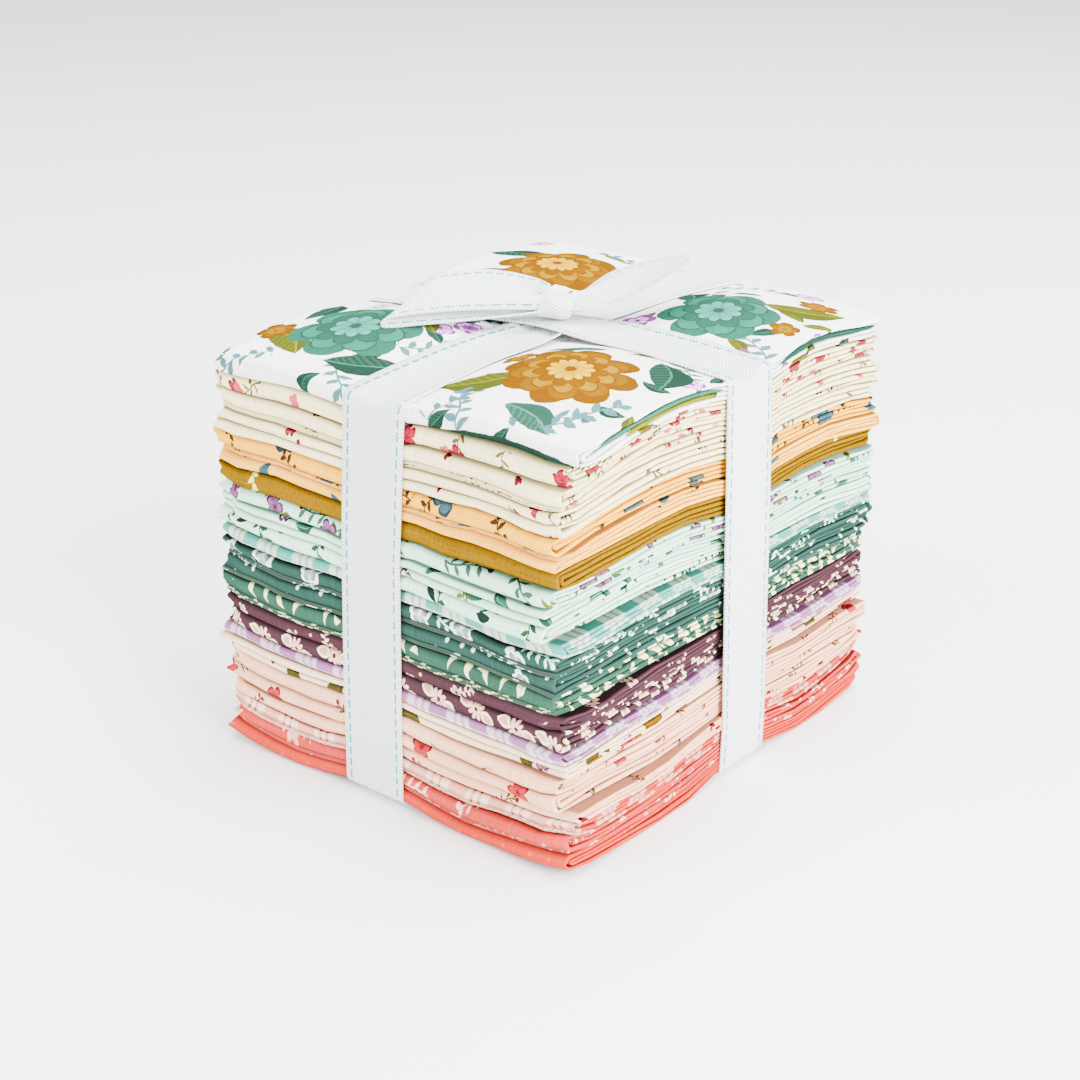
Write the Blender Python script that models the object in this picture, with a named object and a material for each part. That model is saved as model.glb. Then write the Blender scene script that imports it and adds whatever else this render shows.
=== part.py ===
"""A fat quarter bundle: twenty-four folded quilting cottons tied both ways with a twill ribbon.

Metres, +Z up. +X runs along the face where the rounded folds show, +Y along the face where the
fold ends show. The origin is the middle of the base of the whole bundle.
"""

import math
from dataclasses import dataclass

import bmesh
import bpy
from mathutils import Matrix, Vector

MM = 0.001

# A folded fat quarter and the stack
PIECE_WIDTH = 114.0 * MM
PIECE_DEPTH = 133.0 * MM
CORNER_TOP = 105.4 * MM
PIECE_GAP = 0.3 * MM
RUNS = 4
RUN_GAP_SHARE = 0.14
OUTER_FOLD_REACH = 2.1 * MM
WRAPPED_FOLD_REACH = 1.6 * MM
SMALL_FOLD_REACH = 1.0 * MM
NESTED_FOLD_INSET = 1.1 * MM
WRAPPED_END_INSET = 0.6 * MM
NOMINAL_PIECE_HEIGHT = 4.3 * MM

# Knots of the drape: the ribbon lines at 0, the crowns of the puffed quarters and the edges
KNOTS_X = [-57.0 * MM, -28.5 * MM, 0.0, 28.5 * MM, 57.0 * MM]
KNOTS_Y = [-66.5 * MM, -33.0 * MM, 0.0, 33.0 * MM, 66.5 * MM]
# Rows run from the front edge to the back edge, columns from left to right, in millimetres
TOP_LIFT = [
    [0.0, 1.7, -1.0, 1.9, 0.0],
    [3.0, 7.0, -0.6, 7.6, 4.0],
    [-2.0, -0.2, 2.0, 0.0, -1.0],
    [4.2, 7.6, -0.6, 7.2, 3.6],
    [2.4, 3.0, -1.5, 2.6, 0.0],
]
BASE_LIFT = [
    [2.4, 0.0, 4.3, 0.0, 2.6],
    [0.0, 0.0, 4.3, 0.0, 0.0],
    [4.3, 4.3, 5.2, 4.3, 4.3],
    [0.0, 0.0, 4.3, 0.0, 0.0],
    [2.6, 0.0, 4.3, 0.0, 2.2],
]

# The ribbon
RIBBON_WIDTH = 19.0 * MM
RIBBON_THICK = 1.0 * MM
RIBBON_GAP = 0.3 * MM
BAND_CORNER_STEP = 1.0 * MM
BAND_CLOSEST_STEP = 0.5 * MM
HULL_STEP = 1.5 * MM
KNOT_LENGTH = 9.6 * MM
KNOT_WIDTH = 11.6 * MM
KNOT_HEIGHT = 7.4 * MM
KNOT_SEAT = 0.8
KNOT_SQUARENESS = 0.8
DOUBLES = 0.01 * MM
VIEW_RIGHT = Vector((0.77, 0.64, 0.0))
VIEW_BACK = Vector((-0.64, 0.77, 0.0))
UP = Vector((0.0, 0.0, 1.0))

FRONT = -1
BACK = 1


@dataclass
class Fold:
    """Levels that the four runs take, in the order in which the cloth runs through them."""

    levels: tuple


BOOK = Fold((1, 2, 3, 0))
ROLL = Fold((2, 1, 3, 0))
ACCORDION = Fold((0, 1, 2, 3))


@dataclass
class Piece:
    """One folded fat quarter, from the top of the stack down."""

    name: str
    colour: tuple
    weight: float
    fold: Fold
    closed_side: int
    upside_down: bool
    shift_x: float
    shift_y: float
    turn: float


# name, colour, share of the height, fold, side of its double fold, upside down, shift x, shift y, turn
PIECES = [
    Piece("fq01_large_floral", (0.93, 0.91, 0.90), 1.00, BOOK, FRONT, False, 0.8, 0.4, 1.4),
    Piece("fq02_cream_posy", (0.96, 0.89, 0.80), 1.00, BOOK, FRONT, True, 0.2, 0.2, 0.0),
    Piece("fq03_cream_sprig", (0.96, 0.89, 0.80), 1.20, ROLL, BACK, False, -0.2, -0.2, -0.8),
    Piece("fq04_cream_bud", (0.96, 0.89, 0.80), 1.30, ACCORDION, FRONT, False, -0.3, -0.5, -0.7),
    Piece("fq05_peach_leaf", (0.97, 0.80, 0.60), 1.00, BOOK, FRONT, False, -1.0, -0.4, -1.6),
    Piece("fq06_peach_branch", (0.97, 0.80, 0.60), 0.85, ROLL, BACK, True, 0.1, -0.5, -1.5),
    Piece("fq07_mustard", (0.72, 0.42, 0.03), 1.10, BOOK, FRONT, True, -0.6, -0.6, -0.6),
    Piece("fq08_mint_blossom", (0.80, 0.87, 0.83), 0.95, BOOK, FRONT, False, 0.0, -0.9, -2.1),
    Piece("fq09_mint_leaf", (0.80, 0.87, 0.83), 0.95, ACCORDION, FRONT, False, -1.3, -1.1, -2.1),
    Piece("fq10_mint_stem", (0.80, 0.87, 0.83), 0.95, BOOK, FRONT, True, -1.5, -0.9, -2.6),
    Piece("fq11_aqua_plaid", (0.66, 0.80, 0.80), 0.75, BOOK, FRONT, False, 0.3, -0.2, -1.0),
    Piece("fq12_teal_flower", (0.13, 0.33, 0.26), 1.05, ROLL, BACK, False, -0.6, -0.9, -1.1),
    Piece("fq13_teal_cluster", (0.13, 0.33, 0.26), 1.05, ROLL, BACK, False, -1.1, -0.8, -1.0),
    Piece("fq14_green_vine", (0.14, 0.38, 0.24), 1.25, ROLL, BACK, False, -2.0, -1.0, -0.4),
    Piece("fq15_plum_dot", (0.21, 0.10, 0.12), 0.80, BOOK, FRONT, True, -1.2, -1.0, 0.5),
    Piece("fq16_plum_medallion", (0.21, 0.10, 0.12), 1.05, BOOK, FRONT, False, -1.9, -0.8, 0.5),
    Piece("fq17_lilac_plaid", (0.60, 0.46, 0.60), 0.75, BOOK, FRONT, False, -0.8, -1.0, 0.3),
    Piece("fq18_blush_floral", (0.93, 0.80, 0.76), 0.90, ACCORDION, FRONT, True, -1.2, -0.5, 1.1),
    Piece("fq19_pink_plain", (0.95, 0.76, 0.71), 1.10, ROLL, FRONT, False, -0.3, -0.8, -1.1),
    Piece("fq20_pink_rose", (0.95, 0.76, 0.71), 0.85, BOOK, FRONT, True, -0.7, -0.6, -1.0),
    Piece("fq21_pink_bud", (0.95, 0.76, 0.71), 0.80, BOOK, FRONT, False, 1.0, 0.2, 1.7),
    Piece("fq22_coral_plaid", (0.84, 0.32, 0.25), 0.95, ROLL, BACK, False, 0.2, 0.2, 1.8),
    Piece("fq23_coral_sprig", (0.84, 0.32, 0.27), 1.10, ROLL, BACK, False, 0.5, 0.1, 0.6),
    Piece("fq24_coral_plain", (0.82, 0.27, 0.19), 0.85, BOOK, FRONT, True, 0.2, -0.1, 0.5),
]
RIBBON_COLOUR = (0.90, 0.91, 0.92)


def cell(value, knots):
    """Index of the stretch between knots that holds a value, with the end stretches carried on."""
    for index in range(1, len(knots) - 1):
        if value < knots[index]:
            return index - 1
    return len(knots) - 2


def lift(table, x, y):
    """Height in metres of a drape table at a place, flat on the two halves of each of its cells."""
    i, j = cell(x, KNOTS_X), cell(y, KNOTS_Y)
    u = (x - KNOTS_X[i]) / (KNOTS_X[i + 1] - KNOTS_X[i])
    v = (y - KNOTS_Y[j]) / (KNOTS_Y[j + 1] - KNOTS_Y[j])
    near, near_right = table[j][i], table[j][i + 1]
    far, far_right = table[j + 1][i], table[j + 1][i + 1]
    if (KNOTS_X[i] + KNOTS_X[i + 1]) * (KNOTS_Y[j] + KNOTS_Y[j + 1]) > 0:
        if u + v <= 1:
            height = near + (near_right - near) * u + (far - near) * v
        else:
            height = far_right + (far - far_right) * (1 - u) + (near_right - far_right) * (1 - v)
    elif v <= u:
        height = near + (near_right - near) * u + (far_right - near_right) * v
    else:
        height = near + (far - near) * v + (far_right - far) * u
    return height * MM


def stack_height(x, y, share):
    """Height of the level that has this share of the stack below it."""
    base = lift(BASE_LIFT, x, y)
    top = CORNER_TOP + lift(TOP_LIFT, x, y)
    return base + (top - base) * share


def piece_shares():
    """For each piece the shares of the stack under its lower and under its upper side."""
    whole = sum(piece.weight for piece in PIECES)
    shares = []
    above = 1.0
    for piece in PIECES:
        below = above - piece.weight / whole
        shares.append((below, above))
        above = below
    return shares


def run_edges(level):
    """Lower and upper side of a run, as shares of the piece's own height."""
    run = 1 / (RUNS + (RUNS - 1) * RUN_GAP_SHARE)
    low = level * run * (1 + RUN_GAP_SHARE)
    return low, low + run


def fold_reach(span):
    """How far a fold stands out from where its runs end, by the levels between them."""
    return {1: SMALL_FOLD_REACH, 2: WRAPPED_FOLD_REACH, 3: OUTER_FOLD_REACH}[span]


class Section:
    """The back-and-forth outline of a folded piece, as (y, share of height) pairs."""

    def __init__(self, piece):
        self.piece = piece
        levels = piece.fold.levels
        self.levels = [RUNS - 1 - level for level in levels] if piece.upside_down else list(levels)
        self.half = PIECE_DEPTH / 2

    def fold_start(self, first):
        """Distance from the middle at which the fold between two runs starts."""
        low, high = sorted(self.levels[first : first + 2])
        start = self.half - fold_reach(high - low)
        other = {0: 2, 2: 0}.get(first)
        if other is None:
            return start
        outer = sorted(self.levels[other : other + 2])
        if outer[0] < low and high < outer[1]:
            start = self.half - OUTER_FOLD_REACH - NESTED_FOLD_INSET
        return start

    def free_end(self, run):
        """Distance from the middle at which a free end lies, further in where a fold wraps it."""
        low, high = sorted(self.levels[1:3])
        if low < self.levels[run] < high:
            return self.half - WRAPPED_FOLD_REACH - WRAPPED_END_INSET
        return self.half - SMALL_FOLD_REACH

    def run_ends(self, run):
        """The run's ends as signed places: at the double fold's side, and at the other side."""
        inner = {0: 0, 1: 0, 2: 2, 3: 2}[run]
        closed = self.fold_start(inner)
        other = self.free_end(run) if run in (0, 3) else self.fold_start(1)
        return self.piece.closed_side * closed, -self.piece.closed_side * other

    def fold_curve(self, first, side, outside):
        """Points round one fold, on its outer or inner face, from the first run to the next."""
        start, end = self.levels[first], self.levels[first + 1]
        span = abs(end - start)
        up = end > start
        low_level, high_level = min(start, end), max(start, end)
        low_edges, high_edges = run_edges(low_level), run_edges(high_level)
        low = low_edges[0] if outside else low_edges[1]
        high = high_edges[1] if outside else high_edges[0]
        run_height = NOMINAL_PIECE_HEIGHT * (low_edges[1] - low_edges[0])
        reach = fold_reach(span) - (0 if outside else run_height)
        reach = max(reach, 0.1 * MM)
        steps = 3 if span == 1 else 4
        points = []
        for step in range(1, steps):
            angle = math.pi * step / steps
            share = (low + high) / 2 - math.cos(angle) * (high - low) / 2
            points.append((side * (self.fold_start(first) + reach * math.sin(angle)), share))
        return points if up else points[::-1]

    def run_side(self, run, upper, towards):
        """Points along one face of a run, at the drape's knots, in the direction of travel."""
        ends = sorted(self.run_ends(run))
        share = run_edges(self.levels[run])[1 if upper else 0]
        places = [ends[0], *KNOTS_Y[1:-1], ends[1]]
        return [(y, share) for y in (places if towards > 0 else places[::-1])]

    def outline(self):
        """The closed outline, one face of the cloth out and the other face back."""
        one, other = [], []
        side = self.piece.closed_side
        for run in range(RUNS):
            towards = side if run % 2 == 0 else -side
            upper = run % 2 == 0
            one += self.run_side(run, upper, towards)
            other += self.run_side(run, not upper, towards)
            if run == RUNS - 1:
                break
            climbs = self.levels[run + 1] > self.levels[run]
            one += self.fold_curve(run, towards, outside=climbs != upper)
            other += self.fold_curve(run, towards, outside=climbs == upper)
        return one + other[::-1]


def placed(piece, shares, x, y, share):
    """A point of a piece in the stack, from its flat place and its share of the piece's height."""
    turn = math.radians(piece.turn)
    shift_x, shift_y = piece.shift_x * MM, piece.shift_y * MM
    at_side = abs(x) > KNOTS_X[-2] * 1.01
    at_end = abs(y) > KNOTS_Y[-2] * 1.01
    new_x = x + shift_x - turn * y if at_side else x
    new_y = y + shift_y + turn * x if at_end else y
    low = stack_height(new_x, new_y, shares[0]) + PIECE_GAP / 2
    high = stack_height(new_x, new_y, shares[1]) - PIECE_GAP / 2
    if piece is PIECES[-1]:
        low -= PIECE_GAP / 2
    return Vector((new_x, new_y, low + (high - low) * share))


def split_quads(bm):
    """Cuts each four-sided face along the diagonal that keeps neighbouring pieces parallel."""
    for face in [face for face in bm.faces if len(face.verts) == 4]:
        centre = face.calc_center_median()
        slant = -1 if centre.x * centre.y > 0 else 1
        ordered = sorted(face.verts, key=lambda vert: vert.co.x + slant * vert.co.y)
        first, last = ordered[0], ordered[-1]
        if any({first, last} == set(edge.verts) for edge in face.edges):
            first, last = face.verts[0], face.verts[2]
        bmesh.utils.face_split(face, first, last)


def material(name, colour, roughness):
    """A plain Principled material."""
    made = bpy.data.materials.new(name)
    made.use_nodes = True
    shader = made.node_tree.nodes["Principled BSDF"]
    shader.inputs["Base Color"].default_value = (*colour, 1.0)
    shader.inputs["Roughness"].default_value = roughness
    return made


def add_object(name, bm, collection, finish):
    """Turns a bmesh into a named object in the bundle's collection."""
    bmesh.ops.recalc_face_normals(bm, faces=bm.faces)
    mesh = bpy.data.meshes.new(name)
    bm.to_mesh(mesh)
    bm.free()
    mesh.materials.append(finish)
    made = bpy.data.objects.new(name, mesh)
    collection.objects.link(made)
    return made


def add_piece(piece, shares, collection):
    """One fat quarter: its folded outline drawn out along X and laid into the drape."""
    bm = bmesh.new()
    outline = [bm.verts.new((KNOTS_X[0], y, share)) for y, share in Section(piece).outline()]
    faces = [bm.faces.new(outline)]
    for before, after in zip(KNOTS_X, KNOTS_X[1:]):
        drawn = bmesh.ops.extrude_face_region(bm, geom=faces)
        if before != KNOTS_X[0]:
            bmesh.ops.delete(bm, geom=faces, context="FACES_ONLY")
        faces = [part for part in drawn["geom"] if isinstance(part, bmesh.types.BMFace)]
        moved = [part for part in drawn["geom"] if isinstance(part, bmesh.types.BMVert)]
        bmesh.ops.translate(bm, verts=moved, vec=(after - before, 0.0, 0.0))
    split_quads(bm)
    for vert in bm.verts:
        vert.co = placed(piece, shares, *vert.co)
    caps = [face for face in bm.faces if len(face.verts) > 4]
    bmesh.ops.triangulate(bm, faces=caps)
    return add_object(piece.name, bm, collection, material(piece.name, piece.colour, 0.9))


def taut_hull(points):
    """The corners of the shortest loop round a set of flat points, going round once."""
    points = sorted(set(points))
    halves = []
    for ordered in (points, points[::-1]):
        chain = []
        for point in ordered:
            while len(chain) > 1:
                (ax, ay), (bx, by) = chain[-2], chain[-1]
                if (bx - ax) * (point[1] - ay) - (by - ay) * (point[0] - ax) > 0:
                    break
                chain.pop()
            chain.append(point)
        halves.append(chain[:-1])
    return halves[0] + halves[1]


def grown(loop, distance):
    """A loop moved outwards by a distance, with its corners rounded by arcs."""
    points = []
    count = len(loop)
    for index, (x, y) in enumerate(loop):
        before, after = loop[index - 1], loop[(index + 1) % count]
        first = math.atan2(before[0] - x, y - before[1])
        turned = math.atan2(x - after[0], after[1] - y) - first
        turned = (turned + math.pi) % (2 * math.pi) - math.pi
        steps = max(1, round(abs(turned) * distance / BAND_CORNER_STEP))
        for step in range(steps + 1):
            angle = first + turned * step / steps
            points.append((x + distance * math.cos(angle), y + distance * math.sin(angle)))
    return points


def thinned(loop, closest):
    """A loop without points that lie closer than a distance to the one before."""
    kept = [loop[0]]
    for point in loop[1:]:
        if math.dist(point, kept[-1]) > closest:
            kept.append(point)
    if math.dist(kept[0], kept[-1]) < closest:
        kept.pop()
    return kept


def stack_section(along_y):
    """Points of the stack's outline under a band's width, as (along, height) pairs."""
    half = RIBBON_WIDTH / 2
    points = []
    for piece, shares in zip(PIECES, piece_shares()):
        reach = (PIECE_DEPTH if along_y else PIECE_WIDTH) / 2
        for end in (-reach, reach):
            for across in (-half, half):
                for share in (0.0, 1.0):
                    flat = (across, end) if along_y else (end, across)
                    point = placed(piece, shares, *flat, share)
                    points.append((point.y if along_y else point.x, point.z))
    knots = KNOTS_Y if along_y else KNOTS_X
    samples = round((knots[-1] - knots[0]) / HULL_STEP)
    for index in range(1, samples):
        place = knots[0] + (knots[-1] - knots[0]) * index / samples
        for across in (-half, 0.0, half):
            for share in (0.0, 1.0):
                x, y = (across, place) if along_y else (place, across)
                points.append((place, stack_height(x, y, share)))
    return points


def loft_strip(stations, closed):
    """A solid strip through stations of four corners each."""
    bm = bmesh.new()
    rings = [[bm.verts.new(corner) for corner in station] for station in stations]
    pairs = list(zip(rings, rings[1:]))
    if closed:
        pairs.append((rings[-1], rings[0]))
    for one, two in pairs:
        for index in range(4):
            after = (index + 1) % 4
            bm.faces.new((one[index], one[after], two[after], two[index]))
    if not closed:
        bm.faces.new(rings[0])
        bm.faces.new(rings[-1][::-1])
    bmesh.ops.triangulate(bm, faces=bm.faces)
    return bm


def add_band(name, along_y, extra, collection, finish):
    """A taut loop of ribbon round the stack, over any extra points given; returns its outer face."""
    hull = taut_hull(stack_section(along_y) + extra)
    inner = thinned(grown(hull, RIBBON_GAP), BAND_CLOSEST_STEP)
    outer = []
    count = len(inner)
    for index, (x, y) in enumerate(inner):
        before, after = inner[index - 1], inner[(index + 1) % count]
        side = Vector((after[1] - before[1], -(after[0] - before[0]))).normalized()
        outer.append((x + side.x * RIBBON_THICK, y + side.y * RIBBON_THICK))
    half = RIBBON_WIDTH / 2
    stations = []
    for near, far in zip(inner, outer):
        corners = [(near, -half), (near, half), (far, half), (far, -half)]
        stations.append(
            [(across, p[0], p[1]) if along_y else (p[0], across, p[1]) for p, across in corners]
        )
    add_object(name, loft_strip(stations, closed=True), collection, finish)
    return outer


def crossing_points(outer):
    """Where the second band has to clear the first: its highest and lowest level over its width."""
    half = RIBBON_WIDTH / 2
    heights = [height for place, height in outer]
    return [(side * half, height) for side in (-1, 1) for height in (min(heights), max(heights))]


def strip_stations(rows):
    """Stations of a loose strip from rows of (right, back, up, width vector) in millimetres."""
    places = [(VIEW_RIGHT * row[0] + VIEW_BACK * row[1] + UP * row[2]) * MM for row in rows]
    stations = []
    for index, row in enumerate(rows):
        ahead = places[min(index + 1, len(rows) - 1)] - places[max(index - 1, 0)]
        width = (VIEW_RIGHT * row[3] + VIEW_BACK * row[4] + UP * row[5]) * MM / 2
        normal = ahead.cross(width).normalized() * RIBBON_THICK / 2
        centre = places[index] + Vector((0.0, 0.0, BOW_BASE))
        stations.append(
            [
                centre - width - normal,
                centre + width - normal,
                centre + width + normal,
                centre - width + normal,
            ]
        )
    return stations


BOW_BASE = CORNER_TOP + 5.0 * MM
# right, back and up of the middle of the strip, then right, back and up of its width, all in mm
EAR_ROWS = [
    (-5.3, 0.0, 5.6, 0.6, 8.6, 3.6),
    (-13.0, -1.5, 6.9, 4.0, 12.0, 5.0),
    (-22.0, -3.5, 7.7, 8.0, 13.5, 6.4),
    (-31.0, -5.6, 7.5, 11.0, 13.8, 7.2),
    (-35.4, -6.8, 6.9, 12.0, 13.6, 7.3),
    (-36.6, -7.2, 5.8, 12.0, 13.6, 7.3),
    (-35.4, -7.0, 4.7, 12.0, 13.6, 7.3),
    (-28.0, -5.0, 4.7, 10.0, 13.6, 7.0),
    (-18.0, -2.6, 4.1, 6.0, 12.8, 5.6),
    (-5.3, 0.0, 3.0, 0.6, 8.6, 3.6),
]
TAIL_ROWS = [
    (5.4, 0.4, 3.6, 0.4, 8.6, 3.6),
    (13.0, 2.5, 6.0, 0.0, 13.5, 5.5),
    (19.0, 4.0, 8.0, 0.0, 15.5, 4.5),
    (25.0, 5.2, 10.0, 0.3, 17.0, 2.0),
    (30.0, 6.0, 11.8, 1.0, 17.6, -0.8),
    (34.0, 6.4, 13.4, 1.5, 17.8, -3.0),
]


def add_knot(collection, finish):
    """The knot: a rounded pillow with a flat underside, seated on the crossing of the bands."""
    bm = bmesh.new()
    bmesh.ops.create_uvsphere(bm, u_segments=16, v_segments=10, radius=1.0)
    half_height = KNOT_HEIGHT / (1 + KNOT_SEAT)
    for vert in bm.verts:
        x, y, z = (math.copysign(abs(part) ** KNOT_SQUARENESS, part) for part in vert.co)
        flat = VIEW_RIGHT * (x * KNOT_LENGTH / 2) + VIEW_BACK * (y * KNOT_WIDTH / 2)
        vert.co = flat + UP * (BOW_BASE + half_height * (max(z, -KNOT_SEAT) + KNOT_SEAT))
    bmesh.ops.dissolve_degenerate(bm, edges=bm.edges, dist=DOUBLES)
    bmesh.ops.triangulate(bm, faces=bm.faces)
    return add_object("ribbon_knot", bm, collection, finish)


def settle(objects):
    """Moves the whole bundle so that its origin is the middle of its base."""
    corners = [vert.co for made in objects for vert in made.data.vertices]
    low = [min(corner[axis] for corner in corners) for axis in range(3)]
    high = [max(corner[axis] for corner in corners) for axis in range(3)]
    shift = Vector((-(low[0] + high[0]) / 2, -(low[1] + high[1]) / 2, -low[2]))
    for made in objects:
        made.data.transform(Matrix.Translation(shift))


def main():
    for old in list(bpy.data.objects):
        bpy.data.objects.remove(old)
    collection = bpy.data.collections.new("fat_quarter_bundle")
    bpy.context.scene.collection.children.link(collection)
    for piece, shares in zip(PIECES, piece_shares()):
        add_piece(piece, shares, collection)
    ribbon = material("ribbon", RIBBON_COLOUR, 0.7)
    outer = add_band("ribbon_long_band", True, [], collection, ribbon)
    add_band("ribbon_cross_band", False, crossing_points(outer), collection, ribbon)
    add_knot(collection, ribbon)
    add_object("ribbon_loop", loft_strip(strip_stations(EAR_ROWS), False), collection, ribbon)
    add_object("ribbon_tail", loft_strip(strip_stations(TAIL_ROWS), False), collection, ribbon)
    settle(list(collection.objects))


main()
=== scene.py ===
"""Fat quarter bundle: folded quilting cottons tied with a stitched twill ribbon, as product shot.

Each cloth is a real flat fat quarter mapped through its folds, so every print wraps round its
edges. Metres, +Z up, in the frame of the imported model.
"""

import logging
import math
from dataclasses import dataclass
from enum import Enum

import bmesh
import bpy
import numpy as np
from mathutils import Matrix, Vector


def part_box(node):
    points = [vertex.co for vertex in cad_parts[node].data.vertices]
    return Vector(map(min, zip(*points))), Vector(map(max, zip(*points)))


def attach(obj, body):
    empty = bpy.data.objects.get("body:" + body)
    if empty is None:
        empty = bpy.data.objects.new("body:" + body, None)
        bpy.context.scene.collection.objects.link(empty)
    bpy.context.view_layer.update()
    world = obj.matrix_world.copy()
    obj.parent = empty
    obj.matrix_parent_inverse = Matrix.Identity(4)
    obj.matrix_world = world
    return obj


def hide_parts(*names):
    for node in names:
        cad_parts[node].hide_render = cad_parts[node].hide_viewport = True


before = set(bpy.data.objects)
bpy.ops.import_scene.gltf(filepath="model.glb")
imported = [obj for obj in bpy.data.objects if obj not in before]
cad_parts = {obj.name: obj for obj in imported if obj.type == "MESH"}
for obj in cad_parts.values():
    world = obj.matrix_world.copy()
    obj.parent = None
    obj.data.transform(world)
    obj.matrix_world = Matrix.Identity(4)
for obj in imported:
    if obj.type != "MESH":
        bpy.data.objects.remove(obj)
log = logging.getLogger("fat_quarter_bundle")

MM = 0.001

# The folded piece, the stack's height at its corners and the tape
PIECE_WIDTH = 114.0 * MM
PIECE_DEPTH = 133.0 * MM
CORNER_TOP = 105.4 * MM
TAPE_WIDTH = 19.0 * MM

# The folding: runs of cloth each way, a piece's height before it is draped and a ply's
RUNS = 4
PIECE_HEIGHT = 4.3 * MM
PLY_PITCH = 0.25 * MM

# Drape knots and heights, close to those of the solids, in millimetres from front to back
KNOTS_X = (-57.0, -28.5, 0.0, 28.5, 57.0)
KNOTS_Y = (-66.5, -33.0, 0.0, 33.0, 66.5)
TOP_LIFT = (
    (0.0, 1.1, -0.8, 1.3, 0.0),
    (3.0, 7.0, -0.6, 7.6, 4.0),
    (-1.2, -0.2, 2.0, 0.0, -1.0),
    (4.2, 7.6, -0.6, 7.2, 3.6),
    (2.4, 3.0, -0.2, 2.6, 0.0),
)
BASE_LIFT = (
    (2.4, 0.0, 4.3, 0.0, 2.6),
    (0.0, 0.0, 4.3, 0.0, 0.0),
    (4.3, 4.3, 5.2, 4.3, 4.3),
    (0.0, 0.0, 4.3, 0.0, 0.0),
    (2.6, 0.0, 4.3, 0.0, 2.2),
)


class Fold(Enum):
    """Levels of the four runs, in the order in which the cloth runs through them."""

    BOOK = (1, 2, 3, 0)
    ROLL = (2, 1, 3, 0)
    ACCORDION = (0, 1, 2, 3)


class Motif(Enum):
    """Shapes that a print is drawn with."""

    FLOWER = "flower"
    LEAF = "leaf"
    SPRIG = "sprig"
    DOT = "dot"


@dataclass(frozen=True)
class Layer:
    """One kind of motif in a print, scattered or set at one place.

    Sizes are in metres. turn is the share of a full random turn; keep is the share of the scattered
    places that are filled; shift moves the motif along itself; curve bends a leaf; place is the
    motif's spot on the cloth in metres, where it isn't scattered.
    """

    motif: Motif
    colour: str
    size: float
    spacing: float = 0.012
    accent: str = ""
    petals: float = 5.0
    depth: float = 0.35
    slim: float = 0.4
    jitter: float = 0.7
    turn: float = 1.0
    angle: float = 0.0
    keep: float = 1.0
    seed: float = 0.0
    shift: float = 0.0
    curve: float = 0.45
    place: tuple[float, float] | None = None


@dataclass(frozen=True)
class Plaid:
    """A woven check: the pitch of its repeat and the colours of its wide and narrow bands."""

    pitch: float
    wide: str
    narrow: str


@dataclass(frozen=True)
class Print:
    """What is printed or woven into one cotton."""

    ground: str
    layers: tuple[Layer, ...] = ()
    plaid: Plaid | None = None
    unevenness: float = 0.5


def printed(ground: str, *layers: Layer, unevenness: float = 0.5) -> Print:
    """A cotton with motifs on a plain ground, from the lowest layer up."""
    return Print(ground, layers, unevenness=unevenness)


@dataclass(frozen=True)
class Cloth:
    """One folded fat quarter, from the top of the stack down.

    weight is its share of the stack's height against the others'; closed_side is the side, 1 or
    -1, of the first and third folds; shifts are in millimetres and turn is in degrees.
    """

    name: str
    weight: float
    fold: Fold
    closed_side: int
    upside_down: bool
    shift_x: float
    shift_y: float
    turn: float

    @property
    def look(self) -> str:
        """Name of the cloth's print, which is its own name without the number."""
        return self.name.split("_", 1)[1]


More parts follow.
